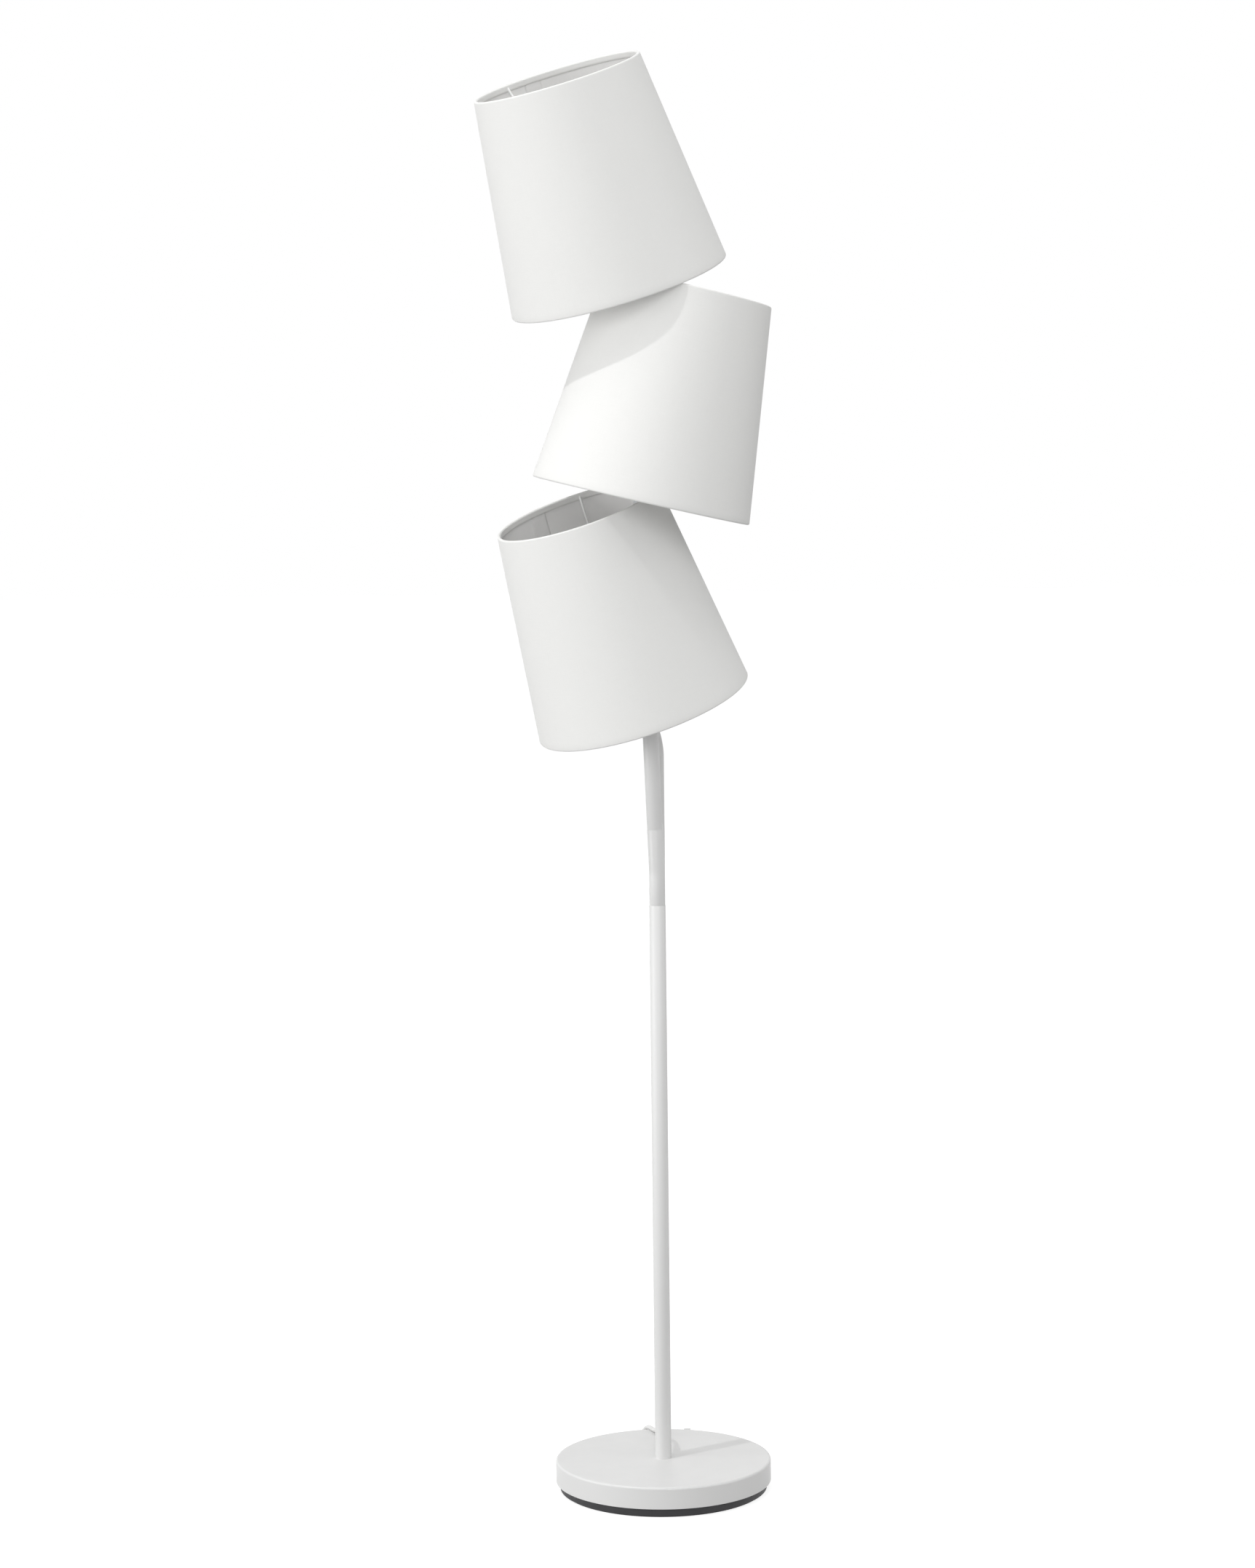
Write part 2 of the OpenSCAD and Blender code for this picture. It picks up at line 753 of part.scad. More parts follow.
module liner(k) {
    edge = 2 * roll_r + turn_gap;
    outer = cover_cloth_t + glue_gap;
    color(liner_white)
    on_axis(k)
    rotate_extrude($fn = 128)
        wall_band(edge, shade_h - edge, outer, outer + liner_t);
}

// The cloth is rolled round a ring wire at each edge, and slit where a spoke leaves the upper one
module shade(k) {
    color(white_cloth)
    on_axis(k)
    difference() {
        rotate_extrude($fn = 128)
        difference() {
            union() {
                wall_band(roll_r, shade_h - roll_r, 0, cover_cloth_t);
                translate([low_ring_r, roll_r])
                    circle(r = roll_r, $fn = 24);
                translate([top_ring_r, shade_h - roll_r])
                    circle(r = roll_r, $fn = 24);
            }
            translate([low_ring_r, roll_r])
                circle(r = wire_r + thread_gap, $fn = 24);
            translate([top_ring_r, shade_h - roll_r])
                circle(r = wire_r + thread_gap, $fn = 24);
        }
        spokes(k, wire_r + 2 * thread_gap, 0);
    }
}

// ---------- bulbs

// Radius of the glass at share u of its length: it swells from its neck, then closes in a point
bulb_neck_r = 8.6;
widest_u = 0.36;
function glass_r(u) = u < widest_u
    ? bulb_neck_r + (bulb_r - bulb_neck_r) * sin(90 * u / widest_u)
    : bulb_r * pow(cos(90 * (u - widest_u) / (1 - widest_u)), 0.8);

module bulb_glass(k) {
    steps = 22;
    tip_u = 0.995;
    outer = [for (i = [0:steps]) let (u = tip_u * i / steps) [glass_r(u), glass_s + bulb_h * u]];
    inner = [for (i = [steps - 2:-1:0])
        let (u = tip_u * i / steps)
        [max(glass_r(u) - bulb_wall, 0.2), glass_s + bulb_h * u]];
    color(bulb_white)
    on_axis(k)
    rotate_extrude()
        polygon(concat(outer, [[0, glass_s + bulb_h * tip_u], [0, inner[0][1]]], inner));
}

module bulb_cap(k) {
    tip_h = 1.6;
    color(zinc)
    on_axis(k)
    rotate_extrude()
        polygon([[0, bulb_s], [2.6, bulb_s], [3, bulb_s + tip_h], [bulb_cap_r, bulb_s + 2 * tip_h],
            [bulb_cap_r, glass_s - 1.2], [bulb_neck_r, glass_s - 0.3], [bulb_neck_r, glass_s],
            [0, glass_s]]);
}

// ---------- wiring

leads_end = sleeve_bottom - 0.1;
lead_joint_r = lead_r + 0.4; // a ball joins two straights of a lead, which end inside it
module lead(points) {
    last = len(points) - 1;
    for (i = [0:last - 1]) {
        u = unit(points[i + 1] - points[i]);
        rod(points[i] + u * lead_r / 2, points[i + 1] - u * (i + 1 < last ? lead_r / 2 : 0), lead_r);
    }
    for (i = [1:last - 1])
        translate(points[i])
            sphere(r = lead_joint_r);
}

module inner_leads() {
    color(cord_white)
    union() {
        lead([[0, 5, exit_z], [0, 0, exit_z + 12], lower_split, low_foot, low_path[1],
              on_lamp(0, leads_end)]);
        lead([lower_split, stem_foot, upper_foot, upper_split, mid_foot, mid_path[1],
              on_lamp(1, leads_end)]);
        lead([upper_split, top_foot, top_path[1], top_path[2], on_lamp(2, leads_end)]);
    }
}

// ---------- cord, with its coil, switch and plug, laid on the floor behind the base

relief_neck_r = cord_d / 2 + 1.6;
relief_tip_r = cord_d / 2 + 0.8;
exit_z = base_top + plug_piece_h + exit_gap + relief_neck_r;
relief_end = [0, pole_r + relief_h, exit_z];

module strain_relief() {
    flange_t = 1.5;
    color(cord_white)
    translate([0, 0, exit_z])
    rotate([-90, 0, 0])
    difference() {
        union() {
            translate([0, 0, pole_r - tube_wall - 1])
                cylinder(h = tube_wall + 2, r = relief_neck_r);
            translate([0, 0, pole_r + flange_t])
                cylinder(h = relief_h - flange_t, r1 = relief_neck_r, r2 = relief_tip_r);
            difference() {
                translate([0, 0, pole_r - 2])
                    cylinder(h = flange_t + 2, r = relief_neck_r + 1);
                rotate([90, 0, 0])
                    cylinder(h = 4 * relief_neck_r, r = pole_r + thread_gap, center = true);
            }
        }
        cylinder(h = pole_r + relief_h + 1, r = cord_d / 2 + thread_gap);
    }
}

// A tube of n sides swept along points: each ring stands square to the line through its neighbours
function tangent(p, i) = unit(p[min(i + 1, len(p) - 1)] - p[max(i - 1, 0)]);
function ring(p, i, r, n) =
    let (t = tangent(p, i), side = unit(cross(t, [0, 0, 1])), up = cross(side, t))
    [for (k = [0:n - 1]) p[i] + side * (r * cos(360 * k / n)) + up * (r * sin(360 * k / n))];

module swept(p, r, n) {
    rings = len(p);
    points = [for (i = [0:rings - 1]) each ring(p, i, r, n)];
    sides = [for (i = [0:rings - 2], k = [0:n - 1])
        let (a = i * n + k, b = i * n + (k + 1) % n)
        each [[a, b, b + n], [a, b + n, a + n]]];
    start = [for (k = [1:n - 2]) [0, k + 1, k]];
    end = [for (k = [1:n - 2]) [(rings - 1) * n, (rings - 1) * n + k, (rings - 1) * n + k + 1]];
    polyhedron(points = points, faces = concat(sides, start, end));
}

// Out of the strain relief, down on the base, over its rear rim and into the switch
lead_route = [[0, pole_r + 5, exit_z], relief_end, [0, 40, 65.8], [-0.2, 48, 64.6],
    [-0.7, 56, 62.2], [-1.6, 64, 58.8], [-2.8, 72, 54.6],
    [-4.2, 80, 50.2], [-5.8, 88, 46], [-7.4, 95.5, 42.6], [-9, 102.5, 40.2], [-11, 109.5, 38.8],
    [-13.4, 116, 38.6], [-16.2, 122, 38.6], [-19.4, 127.6, 36.4], [-22.8, 132.6, 31.8],
    [-26, 137, 26.6], [-29, 140.8, 21], [-32, 143.8, 15.8], [-35.6, 146.4, 11.4],
    [-40, 148.3, 8.2], [-44.5, 149, 7], [-49, 149, 7]];

// Out of the switch, back under the lead and along the base's rear to the coil
tail_route = [[-89, 149, 7], [-93, 149, 7], [-98, 148.8, 6.6], [-104, 147, 5.4],
    [-109.4, 143.6, 4], [-113.4, 138.6, 3],
    [-115.6, 132.6, 2.8], [-115.6, 126.2, 2.8], [-113.4, 120.2, 2.8], [-109.2, 115.4, 2.8],
    [-103.6, 112.6, 2.8], [-97, 111.8, 2.8], [-88, 112.8, 2.8], [-77, 115.4, 2.8],
    [-66, 118.6, 2.8], [-55, 121.8, 2.8], [-43, 125, 2.8], [-30, 127.8, 2.8],
    [-16, 129.6, 2.8], [-2, 130.4, 2.9], [10, 130.6, 3.2], [20, 130.6, 3.3], [25, 130.6, 3.3]];

coil_centre = [30, 169];
coil_r = 38.4;
coil_turns = 7;
coil_exit = 22;
coil_gap = 0.45;
loop_rings = 24;
wind_total = coil_turns + coil_exit / 360;
wind_in = (wind_total - 0.5) / 2;
coil_pitch = cord_d + coil_gap;
coil_z = 3.3;
dip = 1.2;

function ease(f) = f * f * (3 - 2 * f);
function climb(t) = min(max((t - wind_in) / 0.5, 0), 1);
function wind_r(t) = coil_r - coil_pitch * (t < wind_in ? t
    : t < wind_in + 0.5 ? wind_in
    : wind_total - t) - dip * sin(180 * climb(t));
function wind(t) = [coil_centre[0] + wind_r(t) * sin(360 * t), coil_centre[1] - wind_r(t) * cos(360 * t),
    coil_z + coil_pitch * ease(climb(t))];
wind_steps = round(wind_total * loop_rings);
wound = [for (i = [0:wind_steps]) wind(wind_total * i / wind_steps)];
coil_in = [wound[0][0] - cord_d, wound[0][1], coil_z];
coil_out_dir = [cos(coil_exit), sin(coil_exit), 0];
coil_out = wound[wind_steps] + coil_out_dir * cord_d;
coil_route = concat([coil_in], wound, [coil_out]);

// Least gap of the coil to itself, between points more than half a loop apart
self_gap = min([for (i = [0:wind_steps], j = [i + loop_rings / 2:1:wind_steps])
    norm(wound[i] - wound[j])]) - cord_d;
echo(coil_least_gap = self_gap);

// From the coil's upper layer to the plug
plug_heading = -32;
plug_dir = [cos(plug_heading), sin(plug_heading), 0];
plug_at = [69.2, 133.3, plug_t / 2];
plug_route = [coil_out, coil_out + coil_out_dir * 3, [56.4, 137.2, 8.4], [61, 136.8, 7.6],
    plug_at - plug_dir * 4, plug_at];

module cord_lead() {
    color(cord_white)
    swept(lead_route, cord_d / 2, 8);
}

module cord_tail() {
    color(cord_white) {
        swept(tail_route, cord_d / 2, 8);
        swept(plug_route, cord_d / 2, 8);
    }
}

module cord_coil() {
    color(cord_white)
    swept(coil_route, cord_d / 2, 6);
}

// A strap round the turns, on the coil's far side
module cord_tie() {
    turns_in = coil_r - coil_pitch * wind_in - dip - cord_d / 2 - turn_gap;
    turns_out = coil_r + cord_d / 2 + turn_gap;
    turns_top = coil_z + coil_pitch + cord_d / 2 + turn_gap;
    turns_low = coil_z - cord_d / 2 - turn_gap / 2;
    color(dark_plastic)
    translate([coil_centre[0], coil_centre[1], 0])
    difference() {
        translate([-tie_w / 2, turns_in - tie_t, turns_low - tie_t + 0.15])
            cube([tie_w, turns_out - turns_in + 2 * tie_t, turns_top - turns_low + 2 * tie_t - 0.15]);
        translate([-tie_w, turns_in, turns_low])
            cube([2 * tie_w, turns_out - turns_in, turns_top - turns_low]);
    }
}

// ---------- switch

switch_mid = [-69, 149];
switch_corner = 6;
part_z = 7;
rocker_z = switch_h - 3;
pivot_r = 1;
rocker_rise = 3.4;
rocker_room = turn_gap + rocker_rise * 1.2 * sin(rocker_swing / 2); // end gap that the tilt needs

module pill(l, w, r) {
    square([l - 2 * r, w], center = true);
    square([l, w - 2 * r], center = true);
    for (sx = [-1, 1], sy = [-1, 1])
        translate([sx * (l / 2 - r), sy * (w / 2 - r)])
            circle(r = r, $fn = 32);
}

module at_switch() {
    translate([switch_mid[0], switch_mid[1], 0])
        children();
}

module switch_cord_bore() {
    translate([0, 0, part_z])
        rotate([0, 90, 0])
            cylinder(h = 2 * switch_l, r = cord_d / 2 + thread_gap, center = true);
}

module switch_base() {
    color(plastic_white)
    at_switch()
    difference() {
        linear_extrude(height = part_z)
            pill(switch_l, switch_w, switch_corner);
        translate([0, 0, switch_wall])
            linear_extrude(height = part_z)
                pill(switch_l - 2 * switch_wall, switch_w - 2 * switch_wall, switch_corner - switch_wall);
        switch_cord_bore();
    }
}

module switch_cover() {
    lug_w = 2;
    color(plastic_white)
    at_switch()
    difference() {
        union() {
            difference() {
                translate([0, 0, part_z])
                    linear_extrude(height = switch_h - part_z)
                        pill(switch_l, switch_w, switch_corner);
                translate([0, 0, part_z - 1])
                    linear_extrude(height = switch_h - part_z - switch_wall + 1)
                        pill(switch_l - 2 * switch_wall, switch_w - 2 * switch_wall,
                             switch_corner - switch_wall);
            }
            for (side = [-1, 1])
                translate([-3, side * (rocker_w / 2 + turn_gap + lug_w / 2) - lug_w / 2, part_z + 0.5])
                    cube([6, lug_w, switch_h - part_z - 1]);
        }
        translate([-rocker_l / 2 - rocker_room, -rocker_w / 2 - turn_gap, part_z + 0.6])
            cube([rocker_l + 2 * rocker_room, rocker_w + 2 * turn_gap, switch_h]);
        translate([0, 0, rocker_z])
            rotate([90, 0, 0])
                cylinder(h = switch_w - 2 * switch_wall, r = pivot_r + thread_gap, center = true);
        switch_cord_bore();
    }
}

// The rocker's top is a shallow V; at rest its left end is pressed
module switch_rocker() {
    deep = 2.2;
    edge = tan(rocker_swing / 2) * rocker_l / 2;
    color(plastic_white)
    at_switch()
    translate([0, 0, rocker_z])
    rotate([0, -rocker_swing / 2, 0]) {
        rotate([90, 0, 0])
            linear_extrude(height = rocker_w, center = true)
                polygon([[-rocker_l / 2, 0.4], [-3, -deep], [3, -deep], [rocker_l / 2, 0.4],
                    [rocker_l / 2, rocker_rise + edge * 0.6], [0, rocker_rise - 0.4],
                    [-rocker_l / 2, rocker_rise + edge * 0.6]]);
        rotate([90, 0, 0])
            cylinder(h = rocker_w + 3, r = pivot_r, center = true, $fn = 32);
    }
}

// ---------- plug

plug_neck_l = 15;
plug_face_l = plug_l - plug_neck_l;

module at_plug() {
    translate(plug_at)
        rotate([0, 0, plug_heading])
            children();
}

// Flat body with round sides, tapered to the neck that holds the cord
module plug_body() {
    color(plastic_white)
    at_plug()
    difference() {
        union() {
            rotate([0, 90, 0])
                cylinder(h = plug_neck_l + 6, r1 = cord_d / 2 + 0.9, r2 = cord_d / 2 + 2.4);
            intersection() {
                translate([plug_neck_l, 0, 0])
                    rotate([0, 90, 0])
                        linear_extrude(height = plug_face_l) {
                            square([plug_t, plug_w - plug_t], center = true);
                            for (side = [-1, 1])
                                translate([0, side * (plug_w - plug_t) / 2])
                                    circle(r = plug_t / 2);
                        }
                translate([0, 0, -plug_t])
                    linear_extrude(height = 2 * plug_t)
                        polygon([[plug_neck_l, -plug_w * 0.2], [plug_l - 12, -plug_w / 2 - 1],
                            [plug_l, -plug_w / 2 - 1], [plug_l, plug_w / 2 + 1],
                            [plug_l - 12, plug_w / 2 + 1], [plug_neck_l, plug_w * 0.2]]);
            }
        }
        for (side = [-1, 1])
            translate([plug_l - 8, side * pin_pitch / 2, 0])
                rotate([0, 90, 0])
                    cylinder(h = plug_l, r = pin_r);
    }
}

module plug_pins() {
    color(zinc)
    at_plug()
    for (side = [-1, 1])
        translate([plug_l - 8, side * pin_pitch / 2, 0])
            rotate([0, 90, 0]) {
                cylinder(h = pin_l + 7, r = pin_r);
                translate([0, 0, pin_l + 7])
                    cylinder(h = 1, r1 = pin_r, r2 = pin_r - 0.7);
            }
}

base_cover();
base_weight();
base_plate();
base_felt();
base_bolt();
base_washer();
plate_screws();
pole_plug();
pole();
lower_fork();
middle_tube();
upper_fork();
arm(0, 2);  // low_arm
arm(1, 4);  // mid_arm
arm(2, 5);  // top_arm
set_screws();
nipples();
lock_nuts();
holder_contacts();
holder_cap(0);  // low_holder_cap
holder_sleeve(0);  // low_holder_sleeve
holder_core(0);  // low_holder_core
ring_nut(0);  // low_ring_nut
spider(0);  // low_spider
wire_rings(0);  // low_wire_rings
liner(0);  // low_liner
shade(0);  // low_shade
bulb_glass(0);  // low_bulb_glass
bulb_cap(0);  // low_bulb_cap
holder_cap(1);  // mid_holder_cap
holder_sleeve(1);  // mid_holder_sleeve
holder_core(1);  // mid_holder_core
ring_nut(1);  // mid_ring_nut
spider(1);  // mid_spider
wire_rings(1);  // mid_wire_rings
liner(1);  // mid_liner
shade(1);  // mid_shade
bulb_glass(1);  // mid_bulb_glass
bulb_cap(1);  // mid_bulb_cap
holder_cap(2);  // top_holder_cap
holder_sleeve(2);  // top_holder_sleeve
holder_core(2);  // top_holder_core
ring_nut(2);  // top_ring_nut
spider(2);  // top_spider
wire_rings(2);  // top_wire_rings
liner(2);  // top_liner
shade(2);  // top_shade
bulb_glass(2);  // top_bulb_glass
bulb_cap(2);  // top_bulb_cap
inner_leads();
strain_relief();
cord_lead();
cord_tail();
cord_coil();
cord_tie();
switch_base();
switch_cover();
switch_rocker();
plug_body();
plug_pins();
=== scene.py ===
"""A floor lamp with three cloth shades on one branching pole, dressed for a render.

Everything is in metres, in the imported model's frame: Z is up, +X points right, -Y to the front,
and the origin is the centre of the base on the floor.
"""

import json
import math

import bmesh
import bpy
import numpy as np
from mathutils import Matrix, Vector


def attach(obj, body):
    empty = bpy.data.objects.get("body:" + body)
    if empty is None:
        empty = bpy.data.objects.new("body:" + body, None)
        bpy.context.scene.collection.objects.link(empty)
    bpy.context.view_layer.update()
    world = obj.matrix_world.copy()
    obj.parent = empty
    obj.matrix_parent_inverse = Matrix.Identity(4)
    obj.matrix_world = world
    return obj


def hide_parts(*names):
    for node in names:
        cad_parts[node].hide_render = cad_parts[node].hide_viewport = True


bl_info = {
    "name": "Three-shade floor lamp",
    "version": (1, 0, 0),
    "blender": (4, 5, 0),
    "location": "View3D > Sidebar > Floor lamp",
    "description": "Makes the cloth, cords, fittings and finishes of a floor lamp on its packed frame",
    "category": "Add Mesh",
}

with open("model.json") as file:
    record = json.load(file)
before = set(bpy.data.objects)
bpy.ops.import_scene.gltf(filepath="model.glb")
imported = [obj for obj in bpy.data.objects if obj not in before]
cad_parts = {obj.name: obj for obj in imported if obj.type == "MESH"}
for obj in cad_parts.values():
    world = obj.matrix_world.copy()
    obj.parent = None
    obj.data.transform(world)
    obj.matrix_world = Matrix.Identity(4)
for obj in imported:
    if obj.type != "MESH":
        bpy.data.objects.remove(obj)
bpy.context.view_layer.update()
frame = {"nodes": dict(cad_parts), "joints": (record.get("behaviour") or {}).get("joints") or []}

LAMPS = ("low", "mid", "top")
MM = 0.001
# where each shade's seam is, in degrees round its own axis
LAP_TURN = {"low": 268.0, "mid": 100.0, "top": 250.0}
# degrees between two faces: below FLAT they are joined, above SHARP their edge is rounded
FLAT, SHARP = 0.5, 35.0
# distances within which points are joined
SAME_POINT, SAME_CAD_POINT = 1e-7, 2e-6


# ---------- sizes and colours that a user may change


def length(name, description, default):
    """A length in metres."""
    return bpy.props.FloatProperty(
        name=name, description=description, default=default, min=0.0, soft_max=1.0, unit="LENGTH", precision=5
    )


def colour(name, description, default):
    """A colour in linear red, green and blue."""
    return bpy.props.FloatVectorProperty(
        name=name, description=description, default=default, size=3, min=0.0, max=1.0, subtype="COLOR"
    )


def share(name, description, default, top=1.0):
    """A plain number from 0 up."""
    return bpy.props.FloatProperty(name=name, description=description, default=default, min=0.0, soft_max=top)


class ShadeSizes(bpy.types.PropertyGroup):
    """Sizes of a cloth shade, measured along its own axis."""

    top_radius: length("Top radius", "Outer radius of the upper edge", 0.0959)
    bottom_radius: length("Bottom radius", "Outer radius of the lower edge", 0.1261)
    height: length("Height", "Height along the shade's axis", 0.2443)
    hub_height: length("Hub height", "Height of the spider's hub over the lower edge", 0.064)
    roll: length("Hem roll", "Radius of the cloth rolled round a ring wire", 0.00195)
    cloth: length("Cloth", "Thickness of the cloth", 0.0005)
    tuck: length("Tuck", "Depth to which the hem is turned in behind the edge", 0.0085)
    flap_end: length("Flap end", "Height over which the hem's flap closes on the lining", 0.001)
    lap: length("Lap", "Width of the glued lap where the cloth's ends meet", 0.012)
    lining_lap: length("Lining lap", "Width of the strip where the lining's ends overlap", 0.02)
    lining_edge: length("Lining edge", "Distance of the lining from each edge of the shade", 0.0045)
    lining_depth: length("Lining depth", "Depth of the lap's face behind the cloth's outside", 0.00175)
    thread: length("Thread pitch", "Distance between two threads of the weave", 0.0007)


class HolderSizes(bpy.types.PropertyGroup):
    """Sizes of the lamp holders and bulbs."""

    sleeve_radius: length("Sleeve radius", "Outer radius of the holder's sleeve", 0.0134)
    thread_start: length("Thread start", "Height over the hub where the sleeve's thread starts", 0.0068)
    thread_end: length("Thread end", "Height over the hub where the sleeve's thread ends", 0.0098)
    thread_pitch: length("Sleeve thread", "Pitch of the sleeve's thread", 0.0022)
    thread_depth: length("Thread depth", "Height of the sleeve's thread", 0.00028)
    cap_radius: length("Bulb cap radius", "Radius of the bulb's cap over its thread", 0.0069)
    cap_flare: length("Bulb cap flare", "Radius of the cap where it takes the glass", 0.0086)
    cap_tip: length("Bulb cap tip", "Radius of the contact at the cap's end", 0.0026)
    cap_pitch: length("Bulb cap pitch", "Pitch of the bulb cap's thread", 0.00282)


class CordSizes(bpy.types.PropertyGroup):
    """Sizes of the cord and of what is on it."""

    diameter: length("Diameter", "Diameter of the cord", 0.005)
    coil_radius: length("Coil radius", "Radius of the coil's outer turn", 0.0384)
    coil_pitch: length("Coil pitch", "Distance between neighbouring turns", 0.00545)
    relief_start: length("Relief start", "Distance of the strain relief from the pole's axis", 0.0078)
    relief_wall: length("Relief wall", "Thickness of the strain relief at the pole", 0.0016)
    relief_taper: length("Relief taper", "How much thinner that wall is at the other end", 0.0008)
    ribs: bpy.props.IntProperty(name="Ribs", description="Ribs on the strain relief", default=7, min=1)


class Finishes(bpy.types.PropertyGroup):
    """Colours of the lamp's finishes."""

    cloth: colour("Cloth", "Woven cover of the shades", (0.86, 0.86, 0.845))
    lining: colour("Lining", "Stiff lining of the shades", (0.92, 0.915, 0.905))
    paint: colour("Paint", "Powder coat of the tubes", (0.765, 0.765, 0.76))
    # the base cover's white is painted darker than the tubes' white coat: painted shade for its side
    base: colour("Base paint", "Powder coat of the base cover", (0.73, 0.73, 0.725))
    dark: colour("Dark plate", "Plate under the base cover", (0.035, 0.035, 0.038))
    wire: colour("Wire", "Coating of the ring wires and spiders", (0.92, 0.92, 0.915))
    plastic: colour("Plastic", "Holders, switch and plug", (0.8, 0.8, 0.785))
    cord: colour("Cord", "Sheath of the cord", (0.74, 0.74, 0.73))
    glass: colour("Bulb", "Frosted glass of the bulbs", (0.88, 0.88, 0.86))


class StageSettings(bpy.types.PropertyGroup):
    """Camera and light."""

    lens: share("Lens", "Focal length on a 36 mm frame", 79.04, 200)
    key_power: share("Key power", "Power of the small main light in watts", 175.0, 500)
    soft_power: share("Soft power", "Power of all soft lights together in watts", 136.0, 500)
    fill: share("Fill", "Strength of the light from all round", 0.54, 2.0)
    floor_glow: share("Floor glow", "Part of the floor's white that the camera always sees", 0.8)


class LampSettings(bpy.types.PropertyGroup):
    """All settings of the floor lamp."""

    shade: bpy.props.PointerProperty(type=ShadeSizes)
    holder: bpy.props.PointerProperty(type=HolderSizes)
    cord: bpy.props.PointerProperty(type=CordSizes)
    finish: bpy.props.PointerProperty(type=Finishes)
    stage: bpy.props.PointerProperty(type=StageSettings)


def settings():
    """The scene's own copy of all settings."""
    return bpy.context.scene.floor_lamp


# ---------- meshes from arrays


def grid_object(name, points, wrap=(False, False), uv=None, flip=False, merge=False):
    """An object whose quads join neighbouring points of a grid.

    wrap joins the last row or column to the first, flip turns the faces round, and merge joins points
    that meet.
    """
    rows, columns = points.shape[:2]
    down, across = (count if joined else count - 1 for count, joined in zip((rows, columns), wrap))
    i, j = np.meshgrid(np.arange(down), np.arange(across), indexing="ij")
    corners = [(i, j), (i + 1, j), (i + 1, j + 1), (i, j + 1)]
    if flip:
        corners.reverse()
    faces = np.stack([(a % rows) * columns + b % columns for a, b in corners], axis=-1).reshape(-1, 4)
    mesh = bpy.data.meshes.new(name)
    mesh.vertices.add(rows * columns)
    mesh.vertices.foreach_set("co", np.ascontiguousarray(points, dtype=np.float32).reshape(-1))
    mesh.loops.add(faces.size)
    mesh.loops.foreach_set("vertex_index", faces.reshape(-1).astype(np.int32))
    mesh.polygons.add(len(faces))
    mesh.polygons.foreach_set("loop_start", np.arange(0, faces.size, 4, dtype=np.int32))
    mesh.polygons.foreach_set("use_smooth", np.ones(len(faces), dtype=bool))
    if uv is not None:
        layer = mesh.uv_layers.new(name="UVMap")
        per_corner = np.stack([uv[a, b] for a, b in corners], axis=-2)
        layer.data.foreach_set("uv", per_corner.reshape(-1).astype(np.float32))
    mesh.update(calc_edges=True)
    if merge:
        work = bmesh.new()
        work.from_mesh(mesh)
        bmesh.ops.remove_doubles(work, verts=work.verts, dist=SAME_POINT)
        work.to_mesh(mesh)
        work.free()
    mesh.validate()
    piece = bpy.data.objects.new(name, mesh)
    bpy.context.scene.collection.objects.link(piece)
    return piece


def unit(v):
    """Each vector divided by its length."""
    return v / np.linalg.norm(v, axis=-1, keepdims=True)


def lamp_axes(lamp):
    """A lamp's own axes as columns, and the middle of its shade's lower edge; Z is the lamp's axis."""
    joint = next(j for j in frame["joints"] if j["name"] == lamp + "_shade_turn")
    z = unit(np.array(joint["axis"], dtype=float))
    turn, tilt = math.atan2(z[1], z[0]), math.acos(z[2])
    x = np.array([math.cos(tilt) * math.cos(turn), math.cos(tilt) * math.sin(turn), -math.sin(tilt)])
    base = np.array(joint["pos_m"]) - z * settings().shade.hub_height
    return np.stack([x, np.cross(z, x), z], axis=1), base


def turned(name, axes, origin, profile, sides, ripple=None, around=None, merge=False):
    """A profile of (radius, height) carried round the Z of the given axes.

    ripple(angle, height) is added to the radius. The UV map runs in metres: round, at the radius given in
    around or else the mean one, and along the profile.
    """
    angle = np.linspace(0, 2 * np.pi, sides, endpoint=False)
    r = np.broadcast_to(profile[:, 0], (sides, len(profile))).copy()
    if ripple is not None:
        r = r + ripple(angle[:, None], profile[None, :, 1])
    x, y = r * np.cos(angle)[:, None], r * np.sin(angle)[:, None]
    local = np.stack([x, y, np.broadcast_to(profile[:, 1], r.shape)], axis=-1)
    run = np.concatenate([[0], np.cumsum(np.linalg.norm(np.diff(profile, axis=0), axis=1))])
    radius = around or profile[:, 0].mean()
    u = np.linspace(0, 2 * np.pi * radius, sides + 1)
    uv = np.stack(np.meshgrid(u, run, indexing="ij"), axis=-1)
    return grid_object(name, local @ axes.T + origin, (True, False), uv, merge=merge)


def smooth_path(points, per=6):
    """A smooth curve through the points, with per steps between two of them.

    Each stretch is a cubic that leaves a point in the direction of the line between that point's neighbours.
    """
    p = np.asarray(points, dtype=float)
    p = np.vstack([2 * p[0] - p[1], p, 2 * p[-1] - p[-2]])
    t = (np.arange(per) / per)[None, :, None]
    a, b, c, d = (p[k : len(p) - 3 + k, None] for k in range(4))
    square, cube = 2 * a - 5 * b + 4 * c - d, 3 * b - a - 3 * c + d
    curve = 0.5 * (2 * b + (c - a) * t + square * t**2 + cube * t**3)
    return np.vstack([curve.reshape(-1, 3), p[-2]])


